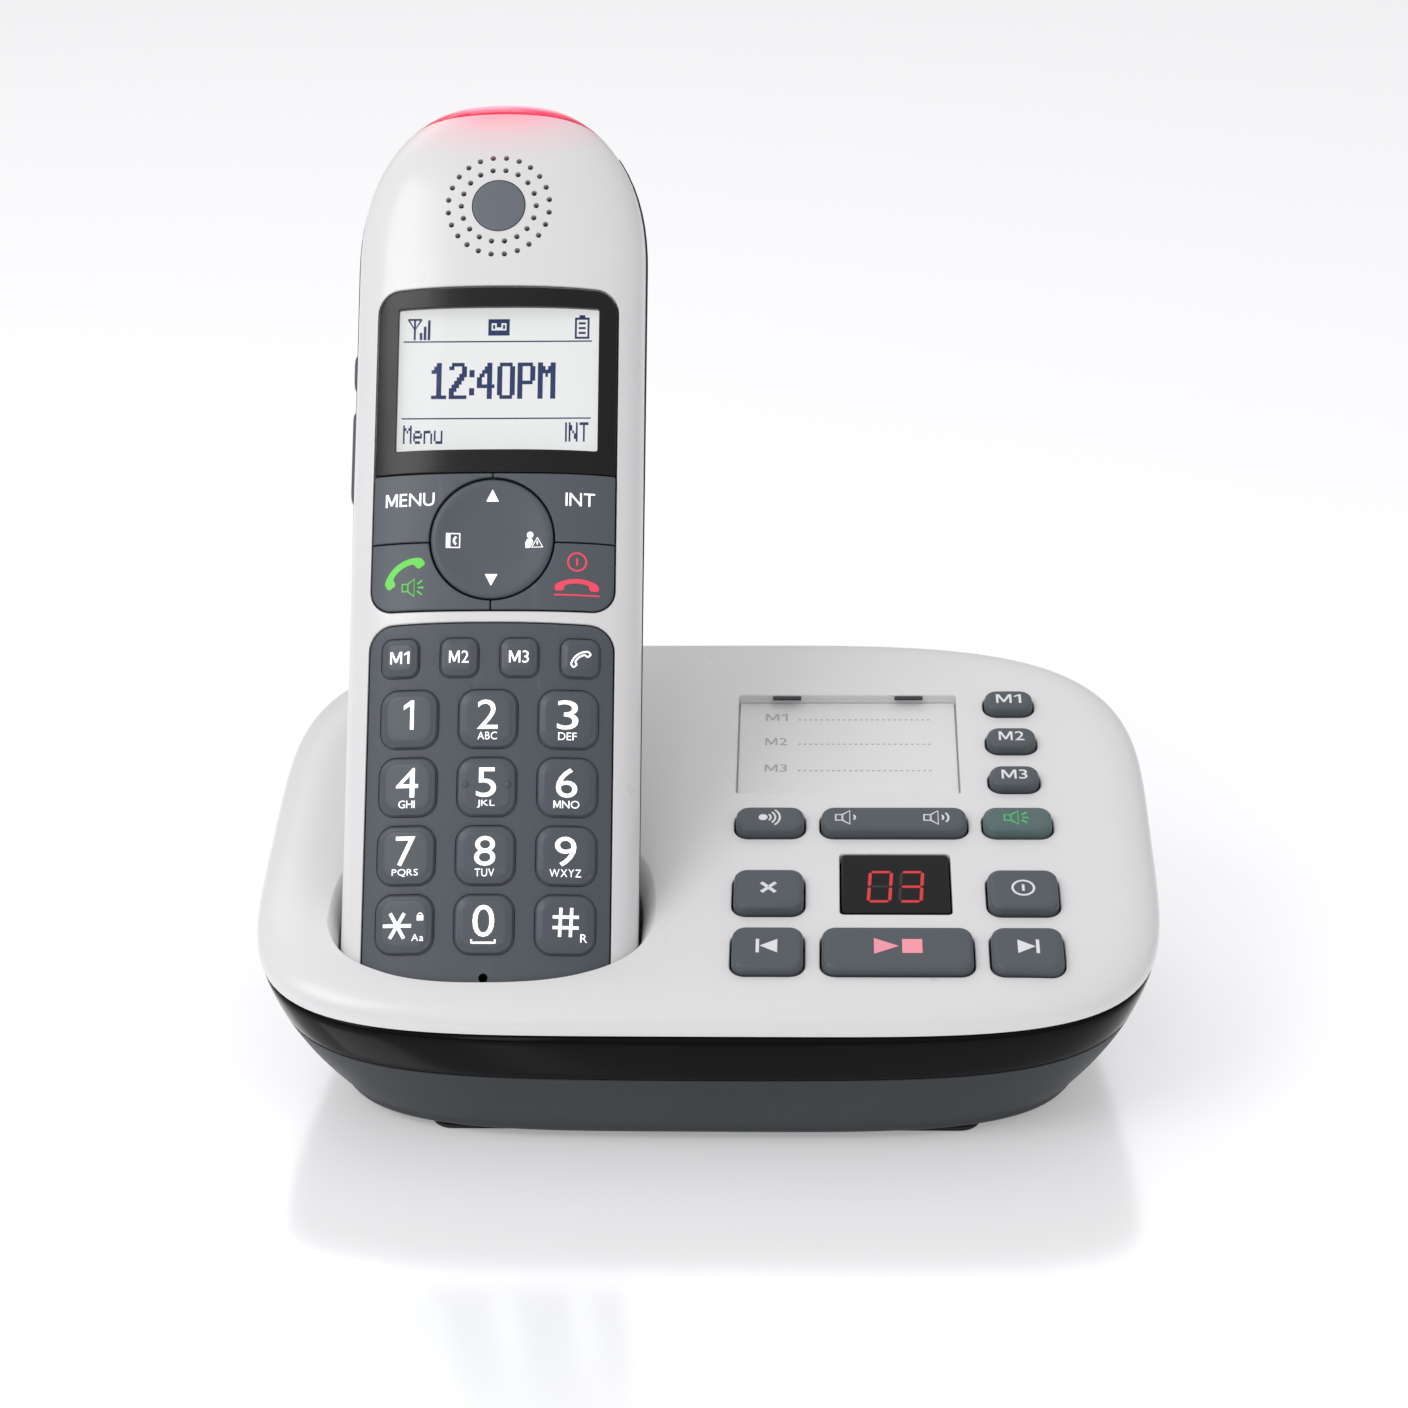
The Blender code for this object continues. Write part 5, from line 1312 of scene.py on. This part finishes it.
colours = {"Factor": fade, "A": rims.outputs["Color"], "B": (0.30, 0.004, 0.02, 1)}
darker = add_node(tree, "Mix", colours, data_type="RGBA").outputs["Result"]
tree.links.new(darker, shader.inputs["Base Color"])
tree.links.new(darker, shader.inputs["Emission Color"])
shader.inputs["Emission Strength"].default_value = 0.75
shader.inputs["Roughness"].default_value = 0.12
smooth(light_guide, 40)
fit(set_down(light_guide, HANDSET), "handset", glow, "red_light_guide", "ring_light")

# ---- The window and the display behind it ----
# A polished lens with a black printed border. A clear pane fills its opening, and the backlit
# liquid-crystal display lies 3 mm behind.

LCD_LOW = (-18.3, 97.2)
LCD_HIGH = (18.9, 124.5)
VIEW_SHIFT = (-0.35, 0.5)

black_lens = moulded("black_lens", (0.003, 0.003, 0.004), 0.26, 3.0, 0.001, cloudiness=0.1)
adjust(black_lens, "Specular IOR Level", 0.3)
rings = []
for inset, level in ((0.0, -1.0), (0.0, -0.3), (0.07, -0.1), (0.22, 0.0)):
    ring = opening_ring(CONTROLS_TOP + 0.1 * MM, WINDOW_TOP, 0.5 * MM, -inset * MM, CONTROLS_CORNER)
    rings.append([(x, y, level * MM) for x, y in ring])
window_frame = draw_out("window_frame", rings)
lcd_size = (LCD_HIGH[0] - LCD_LOW[0], LCD_HIGH[1] - LCD_LOW[1])
lcd_middle = ((LCD_LOW[0] + LCD_HIGH[0]) / 2, (LCD_LOW[1] + LCD_HIGH[1]) / 2)

APERTURE = ((0.0, -3.0), (0.0, -0.12), (-0.2, 0.05), (-1.0, 1.0))
combine(window_frame, plate("aperture", APERTURE, lcd_middle, lcd_size, 0.4, 4, 0.0))
set_down(curve_to_face(window_frame, FACE_REACH), FACE)
fit(smooth(window_frame), "handset", black_lens, "black_lens", "handset_window")

clear_lens = adjust(moulded("clear_lens", (0.02, 0.02, 0.02), 0.03, 3.0, 0.001), "Alpha", 0.06)
pane = plate("lens_pane", ((0.05, -0.9), (0.05, -0.14), (0.12, -0.08)), lcd_middle, lcd_size, 0.35, 4, 0.0)
fit(smooth(set_down(curve_to_face(pane, 20 * MM), FACE)), "handset", clear_lens, "black_lens")

lcd_glass = glowing("lcd_glass", (0.92, 0.925, 0.92), 0.72, (0.30, 0.31, 0.32))
LCD_PROFILE = ((-1.2, -6.4), (-1.2, -3.6), (-1.1, -3.4), (-0.9, -3.35))
lcd = set_down(plate("lcd", LCD_PROFILE, lcd_middle, lcd_size, 0.5, 4, 0.0), FACE)
fit(smooth(lcd), "handset", lcd_glass, "lcd", "handset_lcd")

BIG = {
    "1": "..##.. .###.. ####.. ..##.. ..##.. ..##.. ..##.. ..##.. ..##.. ######",
    "2": ".#####. ##...## .....## ....### ...###. ..###.. .###... ###.... ##..... #######",
    ":": ".. .. ## ## .. .. .. ## ## ..",
    "4": "....##. ...###. ..####. .##.##. ##..##. ##..##. ####### ....##. ....##. ....##.",
    "0": ".#####. ##...## ##...## ##...## ##...## ##...## ##...## ##...## ##...## .#####.",
    "P": "######. ##...## ##...## ##...## ##...## ######. ##..... ##..... ##..... ##.....",
    "M": "##...## ###.### ####### ##.#.## ##...## ##...## ##...## ##...## ##...## ##...##",
}
SMALL = {
    "M": "#...# ##.## #.#.# #...# #...# #...# #...#",
    "e": "..... ..... .###. #...# ##### #.... .###.",
    "n": "..... ..... ####. #...# #...# #...# #...#",
    "u": "..... ..... #...# #...# #...# #...# .####",
    "I": "# # # # # # #",
    "N": "#...# ##..# ##..# #.#.# #..## #..## #...#",
    "T": "##### ..#.. ..#.. ..#.. ..#.. ..#.. ..#..",
}


def on_lcd(u, v):
    """A place on the display, from shares of its width and height from the upper left."""
    return (LCD_LOW[0] + u * lcd_size[0] + VIEW_SHIFT[0], LCD_HIGH[1] - v * lcd_size[1] + VIEW_SHIFT[1])


def dots(text, font, left, top, width, height):
    """Text in square dots, between the given shares of the display."""
    rows = [".".join(row) for row in zip(*(font[letter].split() for letter in text))]
    x0, y0 = on_lcd(left, top)
    cell = (width * lcd_size[0] / len(rows[0]), height * lcd_size[1] / len(rows))
    marks = []
    for i, row in enumerate(rows):
        start = None
        for k, mark in enumerate(row + "."):
            if mark == "#" and start is None:
                start = k
            if mark == "." and start is not None:
                middle = (x0 + (start + k) / 2 * cell[0], y0 - (i + 0.5) * cell[1])
                marks.append(rectangle(*middle, (k - start) * cell[0], cell[1]))
                start = None
    return marks


def bar(left, top, right, bottom):
    """A filled box between the given shares of the display."""
    (x0, y0), (x1, y1) = on_lcd(left, top), on_lcd(right, bottom)
    return rectangle((x0 + x1) / 2, (y0 + y1) / 2, x1 - x0, y0 - y1)


marks = dots("12:40PM", BIG, 0.172, 0.378, 0.621, 0.255)
marks += dots("Menu", SMALL, 0.037, 0.818, 0.197, 0.129)
marks += dots("INT", SMALL, 0.845, 0.800, 0.116, 0.135)
SIGNAL = [(0.108 + i * 0.02, 0.165 - i * 0.045, 0.121 + i * 0.02, 0.215) for i in range(3)]
CHARGE = [(0.905, 0.095 + i * 0.034, 0.940, 0.110 + i * 0.034) for i in range(3)]
RULES = [(0.028, 0.224, 0.972, 0.233), (0.028, 0.766, 0.972, 0.775)]
MAST = [(0.078, 0.065, 0.088, 0.215), (0.048, 0.065, 0.118, 0.078)]
BATTERY = [(0.886, 0.062, 0.896, 0.212), (0.949, 0.062, 0.959, 0.212), (0.896, 0.062, 0.949, 0.077)]
BATTERY += [(0.896, 0.198, 0.949, 0.212), (0.908, 0.045, 0.937, 0.062)]
TAPE = [(0.452, 0.070, 0.559, 0.098), (0.452, 0.150, 0.559, 0.186), (0.452, 0.098, 0.468, 0.150)]
TAPE += [(0.543, 0.098, 0.559, 0.150), (0.494, 0.098, 0.517, 0.128), (0.475, 0.112, 0.486, 0.138)]
TAPE += [(0.525, 0.112, 0.536, 0.138)]
marks += [bar(*box) for box in SIGNAL + CHARGE + RULES + MAST + BATTERY + TAPE]
marks.append(stroke(0.35, [on_lcd(0.050, 0.070), on_lcd(0.083, 0.145), on_lcd(0.116, 0.070)]))
lcd_ink = moulded("lcd_ink", (0.012, 0.035, 0.15), 0.5, 0.2, 0.002, cloudiness=0.1)
fit(lay_on(join("lcd_figures", marks), lcd, FACE), "handset", lcd_ink, "lcd")

# ---- The keypad panel ----
# A satin grey plate that follows the curve of the face, with a softened hole for each key and the
# microphone hole at its lower edge.

PAD_KEYS = {}
for i, name in enumerate(("m1", "m2", "m3", "line")):
    PAD_KEYS[name] = ((i - 1.5) * 10.9, 58.2, 6.6, 6.8, 1.7)
for i, name in enumerate(("1", "2", "3", "4", "5", "6", "7", "8", "9", "star", "0", "hash")):
    PAD_KEYS[name] = ((i % 3 - 1) * 14.4, 46.9 - (i // 3) * 12.4, 10.3, 10.3, 2.9)

panel_grey = moulded("panel_grey", (0.070, 0.083, 0.098), 0.5, 0.3, 0.015, 0.2, (0.13, 0.15, 0.17))
rings = []
for inset, level in ((0.0, -1.8), (0.0, -0.3), (0.05, -0.16), (0.2, -0.1)):
    ring = opening_ring(PANEL_BOTTOM, PANEL_TOP, 1.0 * MM, -inset * MM, PANEL_CORNER)
    rings.append([(x, y, level * MM) for x, y in ring])
panel = draw_out("panel", rings)
tools = [turned("mic_hole", ((0.85, -3), (0.85, 1)), 0, 0.15)]
KEY_HOLE = ((-0.3, -3.0), (-0.3, -0.22), (-0.36, -0.13), (-0.5, -0.09), (-0.9, 0.4))
for x, y, width, height, corner in PAD_KEYS.values():
    tools.append(plate("key_hole", KEY_HOLE, (x, y), (width, height), corner, 8))
combine(panel, join("key_holes", tools))
set_down(curve_to_face(panel, FACE_REACH, FINE_STRIP), FACE)
fit(smooth(panel), "handset", panel_grey, "keypad_grey", "keypad_panel")

# ---- The raised keys on the panel ----
# Soft grey silicone keys with a stepped pillow top, sprung through the panel's holes. Their white
# legends are lit from behind, and the middle key has two pips to find it by touch.

PAD_KEY_SKIRT = ((0.0, -3.2), (0.0, -0.7), (-0.24, -0.6), (-0.24, -0.2), (-0.15, -0.1), (-0.05, 0.0))
PAD_KEY_STEP = ((0.0, 0.16), (0.03, 0.38), (0.12, 0.52), (0.3, 0.62), (0.62, 0.67))
PAD_KEY_PROFILE = (*PAD_KEY_SKIRT, *PAD_KEY_STEP, (0.8, 0.74), (0.98, 0.84), (1.25, 0.89), (1.9, 0.9))
pad_rubber = moulded("pad_rubber", (0.072, 0.086, 0.101), 0.42, 0.3, 0.015, 0.3, (0.135, 0.155, 0.175))
lit_white = glowing("lit_white", (0.93, 0.94, 0.95), 0.75)
RECEIVER = (
    [(1.75 * math.cos(math.radians(a)), 1.75 * math.sin(math.radians(a)) - 1.38) for a in range(126, 53, -6)]
    + [(1.12, -0.08), (1.14, -0.34), (1.06, -0.44), (0.74, -0.44), (0.66, -0.36), (0.64, -0.17)]
    + [(1.44 * math.cos(math.radians(a)), 1.44 * math.sin(math.radians(a)) - 1.38) for a in range(66, 115, 6)]
    + [(-0.64, -0.17), (-0.66, -0.36), (-0.74, -0.44), (-1.06, -0.44), (-1.14, -0.34), (-1.12, -0.08)]
)


def receiver(x, y, size, tilt, squash=1.0):
    """The outline of a telephone receiver, turned by an angle in degrees."""
    c, s = math.cos(math.radians(tilt)), math.sin(math.radians(tilt))
    return [(x + (px * c - py * squash * s) * size, y + (px * s + py * squash * c) * size) for px, py in RECEIVER]


LETTERS = {"2": "ABC", "3": "DEF", "4": "GHI", "5": "JKL", "6": "MNO", "7": "PQRS", "8": "TUV", "9": "WXYZ"}
LETTER_WIDTHS = {"2": 3.5, "3": 3.3, "4": 3.0, "5": 3.2, "6": 4.6, "7": 4.8, "8": 3.5, "9": 5.6}
DIGIT_WIDTHS = {"1": 1.9, "2": 3.7, "3": 3.8, "4": 4.1, "5": 3.6, "6": 3.8, "7": 3.6, "8": 3.8, "9": 3.8, "0": 3.9}


def pad_legends(name):
    """The lit marks on one of the keypad's keys."""
    x, y = PAD_KEYS[name][:2]
    if name in ("m1", "m2", "m3"):
        return [lettering(name.upper(), x, y, 2.25, 3.6)]
    if name == "line":
        return [stroke(0.33, receiver(x, y, 1.75, 38), True)]
    if name == "star":
        marks = []
        for angle in (0, 60, 120):
            c, s = 2.6 * math.cos(math.radians(angle)), 2.6 * math.sin(math.radians(angle))
            marks.append(stroke(0.66, span(x - 1.2 - c, y - 0.3 - s, x - 1.2 + c, y - 0.3 + s)))
        marks += [lettering("Aa", x + 2.6, y - 2.4, 1.25, 2.2), rectangle(x + 3.0, y + 1.1, 1.2, 0.9)]
        return marks + [stroke(0.2, arc(x + 3.0, y + 1.6, 0.38, 0, 180, 8))]
    if name == "hash":
        marks = [stroke(0.6, span(x + 0.2 - 2.3, y + 0.4 + s, x + 0.2 + 2.3, y + 0.4 + s)) for s in (-0.95, 0.95)]
        for s in (-0.95, 0.95):
            marks.append(stroke(0.6, span(x + 0.2 + s - 0.1, y + 0.4 - 2.6, x + 0.2 + s + 0.1, y + 0.4 + 2.6)))
        return marks + [lettering("R", x + 3.4, y - 2.4, 1.5, 1.2)]
    if name == "0":
        bracket = [(x - 2.1, y - 2.75), *span(x - 2.1, y - 3.35, x + 2.1, y - 3.35), (x + 2.1, y - 2.75)]
        return [lettering("0", x, y + 0.55, 5.7, 3.9), stroke(0.4, bracket)]
    marks = [lettering(name, x, y + 0.7, 5.35, DIGIT_WIDTHS[name])]
    if name in LETTERS:
        marks.append(lettering(LETTERS[name], x, y - 3.2, 1.4, LETTER_WIDTHS[name]))
    return marks


PIP = ((0.6, -0.2), (0.6, 0.05), (0.52, 0.2), (0.35, 0.3), (0.15, 0.34))
for name, (x, y, width, height, corner) in PAD_KEYS.items():
    key = plate(f"pad_key_{name}", PAD_KEY_PROFILE, (x, y), (width, height), corner, 8, 0.75, 0.5)
    set_down(curve_to_face(key, FACE_REACH, FINE_STRIP), FACE)
    fit(smooth(key, 60), f"handset_key_{name}", pad_rubber, "keypad_key_grey", f"handset_key_{name}")
    legend = lay_on(join(f"pad_legend_{name}", pad_legends(name)), key, FACE)
    fit(legend, f"handset_key_{name}", lit_white, "keypad_key_grey")
    if name == "5":
        pips = join("pad_key_5_pips", [turned("pip", PIP, x + side * 3.85, y + 0.3) for side in (-1, 1)])
        fit(smooth(lay_on(pips, key, FACE), 60), "handset_key_5", pad_rubber, "keypad_key_grey")

# ---- The control keys and the navigation key ----
# Four soft keys surround a dished round key that rocks four ways. The talk and end marks are
# green and red.

NAVIGATION_CENTRE = 80.3
NAVIGATION_RADIUS = 11.2
CONTROLS_SPLIT = 79.7
CONTROLS_RISE = 0.25


def control_ring(side, upper):
    """One quarter of the control block, with a round notch for the navigation key, in millimetres."""
    gap = 0.125
    edge, notch = 22.2, NAVIGATION_RADIUS + 0.35
    level = CONTROLS_SPLIT + (gap if upper else -gap)
    far = 92.7 - gap if upper else 67.1
    start = math.acos(gap / notch) * (1 if upper else -1)
    end = math.asin((level - NAVIGATION_CENTRE) / notch)
    points = [(gap, far)]
    if upper:
        points.append((edge, far))
    else:
        points += arc(edge - 4.0, far + 4.0, 4.0, -90, 0, 10)
    points.append((edge, level))
    for step in range(33):
        angle = end + (start - end) * step / 32
        points.append((notch * math.cos(angle), NAVIGATION_CENTRE + notch * math.sin(angle)))
    return [(side * x * MM, y * MM) for x, y in points]


control_rubber = moulded("control_rubber", (0.076, 0.091, 0.107), 0.42, 0.25, 0.01, 0.25, (0.14, 0.16, 0.18))
legend_talk = glowing("legend_talk", (0.13, 0.72, 0.07), 0.6, (0.05, 0.30, 0.03))
legend_end = glowing("legend_end", (0.93, 0.06, 0.12), 0.6, (0.38, 0.03, 0.05))


def control_legends(name):
    """The lit marks on one of the control keys, and their ink."""
    if name == "menu":
        return [lettering("MENU", -15.3, 87.8, 2.45, 9.2)], lit_white
    if name == "intercom":
        return [lettering("INT", 16.0, 87.8, 2.45, 5.3)], lit_white
    if name == "talk":
        return [solid(receiver(-16.4, 74.6, 3.7, 35), 2)] + speaker_sign(-14.4, 71.3, 1.95, "rays", 0.32), legend_talk
    marks = [stroke(0.36, arc(15.6, 76.1, 1.65, 0, 350, 28), True), stroke(0.36, span(15.6, 75.4, 15.6, 76.8))]
    marks += [solid(receiver(15.6, 71.9, 3.5, 0, 0.8), 2), stroke(0.32, span(11.5, 69.9, 19.7, 69.9, 16))]
    return marks, legend_end


for name, side, upper in (("menu", -1, True), ("intercom", 1, True), ("talk", -1, False), ("end", 1, False)):
    outline = control_ring(side, upper)
    key = draw_out(f"control_key_{name}", [[(x, y, z * MM) for x, y in outline] for z in (-3.4, CONTROLS_RISE)])
    soften(key, 0.22 * MM)
    set_down(curve_to_face(key, FACE_REACH, FINE_STRIP), FACE)
    fit(smooth(key, 50), f"handset_key_{name}", control_rubber, "keypad_key_grey", f"handset_key_{name}")
    marks, ink = control_legends(name)
    fit(lay_on(join(f"control_legend_{name}", marks), key, FACE), f"handset_key_{name}", ink, "keypad_key_grey")

DISH_RIM = ((11.2, -5.0), (11.2, -0.35), (11.1, -0.1), (10.85, 0.1), (10.5, 0.19), (10.0, 0.2))
DISH = (*DISH_RIM, (9.2, 0.12), (8.0, -0.02), (6.5, -0.14), (4.5, -0.2), (2.0, -0.22))
navigation = set_down(turned("navigation_disc", DISH, 0, NAVIGATION_CENTRE, 96), FACE)
fit(smooth(navigation, 60), "navigation_key", control_rubber, "keypad_key_grey", "navigation_key")
marks = [solid([(-1.15, 87.3), (1.15, 87.3), (0, 89.5)]), solid([(-1.15, 73.7), (0, 71.5), (1.15, 73.7)])]
marks += [stroke(0.3, [(-8.3, 78.7), (-5.9, 78.7), (-5.9, 81.3), (-8.3, 81.3)], True), rectangle(-7.85, 80.0, 0.5, 2.4)]
marks += [stroke(0.42, arc(-6.2, 80.0, 0.75, 115, 245, 8)), disc(7.0, 81.0, 0.6)]
marks += [solid([(6.2, 78.6), (6.15, 79.6), (6.5, 80.3), (7.3, 80.3), (7.6, 79.7), (7.0, 78.6)])]
marks += [stroke(0.26, [(7.35, 78.7), (9.35, 78.7), (8.35, 80.5)], True), stroke(0.26, span(8.35, 79.2, 8.35, 79.9, 2))]
fit(lay_on(join("navigation_legend", marks), navigation, FACE), "navigation_key", lit_white, "keypad_key_grey")

# ---- The side keys ----
# A round-ended boost key and a longer volume rocker, in the same grey silicone, stand out of the rear
# shell's left side. Their marks are raised.

SIDE_KEY_TOP = -28.0
SIDE_KEY_PROFILE = ((0, 5.5), (0, 0.75), (0.07, 0.4), (0.25, 0.15), (0.6, 0.0))
for name, (low, high) in SIDE_KEYS.items():
    rings = []
    for inset, depth in SIDE_KEY_PROFILE:
        x = SIDE_KEY_TOP + depth
        shrunk = side_ring(low + inset * MM, high - inset * MM, 0.0, 8)
        squeeze = (SIDE_KEY_WIDTH / MM - 2 * inset) / (SIDE_KEY_WIDTH / MM)
        rings.append([(x * MM, SIDE_KEY_DEPTH + (y - SIDE_KEY_DEPTH) * squeeze, z) for y, z in shrunk])
    key = draw_out(f"side_{name}", rings)
    marks = []
    if name == "volume":
        for z in (low / MM + 3.2, high / MM - 3.2):
            marks.append(stroke(0.45, span(-0.9, z, 0.9, z, 4)))
        marks.append(stroke(0.45, span(0, high / MM - 4.1, 0, high / MM - 2.3, 4)))
    else:
        marks.append(stroke(0.4, arc(0, (low + high) / 2 / MM, 1.0, 0, 345, 23), True))
    set_down(key, HANDSET)
    fit(smooth(key, 60), f"side_key_{name}", pad_rubber, "keypad_key_grey", f"side_key_{name}")
    side_place = HANDSET @ Matrix.Translation((0, SIDE_KEY_DEPTH, 0))
    side_place = side_place @ Matrix(((0, 0, -1, 0), (-1, 0, 0, 0), (0, 1, 0, 0), (0, 0, 0, 1)))
    raised = lay_on(join(f"side_mark_{name}", marks), key, side_place)
    fit(raised, f"side_key_{name}", pad_rubber, "keypad_key_grey")

# ---- The battery compartment and its door ----
# Two AAA cells lie head to tail in a black tray with spring contacts. A grained door of the same ABS
# as the shell snaps over them, and has grip ridges and an arrow.

BACK = FACE @ Matrix.Rotation(math.radians(180), 4, "Y")
CELL_RADIUS = 5.25
CELL_DEPTH = 16.25
COMPARTMENT_MIDDLE = 90.0


def back_height(x):
    """How far the handset's back lies behind its face at a place across it, as a negative depth."""
    share = min(abs(x) / HANDSET_HALF_WIDTH, 0.999)
    return -(FRONT_DEPTH + REAR_DEPTH * (1 - share**BACK_SQUARENESS) ** (1 / BACK_SQUARENESS))


DOOR_PROFILE = ((0.0, -1.8), (0.0, -0.35), (0.08, -0.12), (0.3, 0.0))
door = plate("door", DOOR_PROFILE, (0, COMPARTMENT_MIDDLE), (35, 60), DOOR_CORNER / MM, 8)
set_down(curve_to_face(door, 18 * MM, 1.0 * MM, back_height), BACK)
GRIP_PROFILE = ((0.0, -0.4), (0.0, 0.15), (0.12, 0.33), (0.32, 0.4))
grips = []
for i in range(6):
    ridge = plate("grip", GRIP_PROFILE, (0, 112.5 - i * 1.9), (15, 1.1), 0.54, 5)
    grips.append(curve_to_face(ridge, 8 * MM, 1.0 * MM, lambda x: 0.0))
rings = [[(x * MM, y * MM, z * MM) for x, y in ((-2.2, 99.5), (2.2, 99.5), (0, 96.5))] for z in (-0.3, 0.3)]
grips.append(draw_out("arrow", rings))
grip = lay_on(join("door_grip", grips), door, BACK)
fit(smooth(door), "battery_door", dark_shell, "dark_grey_abs", "battery_door")
fit(smooth(grip), "battery_door", dark_shell, "dark_grey_abs")

TRAY_OUTSIDE, TRAY_INSIDE = (24.4, 50.6, 1.2), (23.2, 49.4, 0.7)
TRAY_BOTTOM, TRAY_EDGE, TRAY_FLOOR = 10.5, 21.4, 10.85
TRAY = ((TRAY_OUTSIDE, TRAY_BOTTOM), (TRAY_OUTSIDE, TRAY_EDGE), (TRAY_INSIDE, TRAY_EDGE), (TRAY_INSIDE, TRAY_FLOOR))
tray_rings = []
for (width, length, corner), y in TRAY:
    ring = rounded(width * MM, length * MM, corner * MM, 4)
    tray_rings.append([(px, y * MM, pz + COMPARTMENT_MIDDLE * MM) for px, pz in ring])
tray = set_down(draw_out("battery_tray", tray_rings), HANDSET)
fit(smooth(tray), "handset", black_nylon, "dark_grey_abs")

cell_wrap = moulded("cell_wrap", (0.03, 0.17, 0.09), 0.28, 0.6, 0.003, cloudiness=0.15, coat=0.3)
CELL_BODY = ((4.5, 0.2), (5.1, 0.25), (5.25, 0.45), (5.25, 43.0), (5.1, 43.25), (4.3, 43.3))
CELL_NIPPLE = ((1.95, 43.55), (1.9, 44.3), (1.6, 44.48), (0.5, 44.5))
CELL_ENDS = ((0.5, 0.0), (3.9, 0.05), (4.45, 0.2), (4.45, 43.32), (4.0, 43.5), *CELL_NIPPLE)
CELL_HALF_LENGTH = 22.25
bodies, ends = [], []
for x, up in ((-CELL_RADIUS, 1), (CELL_RADIUS, -1)):
    for profile, pieces in ((CELL_BODY, bodies), (CELL_ENDS, ends)):
        rings = []
        for radius, z in profile:
            along = COMPARTMENT_MIDDLE + up * (z - CELL_HALF_LENGTH)
            rings.append([(px * MM, (CELL_DEPTH + py) * MM, along * MM) for px, py in arc(x, 0, radius, 0, 352.5, 47)])
        pieces.append(draw_out("cell", rings))
cells = set_down(join("cells", bodies), HANDSET)
fit(smooth(cells), "handset", cell_wrap, "cell_wrap", "battery_pack")
cell_ends = set_down(join("cell_ends", ends), HANDSET)
fit(smooth(cell_ends), "handset", steel, "contact_metal")

SPRING_STEPS, SPRING_TURN = 60, 20
springs = []
for x, end in ((-CELL_RADIUS, -1), (CELL_RADIUS, 1)):
    coil = []
    for i in range(SPRING_STEPS + 1):
        angle, radius = 2 * math.pi * i / SPRING_TURN, (2.9 - 1.4 * i / SPRING_STEPS) * MM
        along = (COMPARTMENT_MIDDLE + end * (24.5 - 2.0 * i / SPRING_STEPS)) * MM
        coil.append((x * MM + radius * math.cos(angle), CELL_DEPTH * MM + radius * math.sin(angle), along))
    springs.append(tube("coil", WIRE_RADIUS, "POLY", coil, fineness=1))
battery_springs = set_down(join("battery_springs", springs), HANDSET)
fit(smooth(battery_springs, 60), "handset", steel, "contact_metal")

# ---- The charging pads ----
# Two nickel-plated pads are pressed into the handset's lower end and lie flush there, over the
# cradle's contacts.

PAD_PROFILE = ((0.0, -5.7), (0.0, -6.0), (0.06, -6.05), (0.2, -6.08))
pad_y = (FRONT_DEPTH + GAP) / MM
pads = []
for side in (-1, 1):
    pads.append(plate("pad", PAD_PROFILE, (side * CONTACT_SPREAD / MM, pad_y), (4.6, 3.4), 1.0))
charging_pads = set_down(join("charging_pads", pads), HANDSET)
fit(smooth(charging_pads), "handset", contact_nickel, "contact_metal")
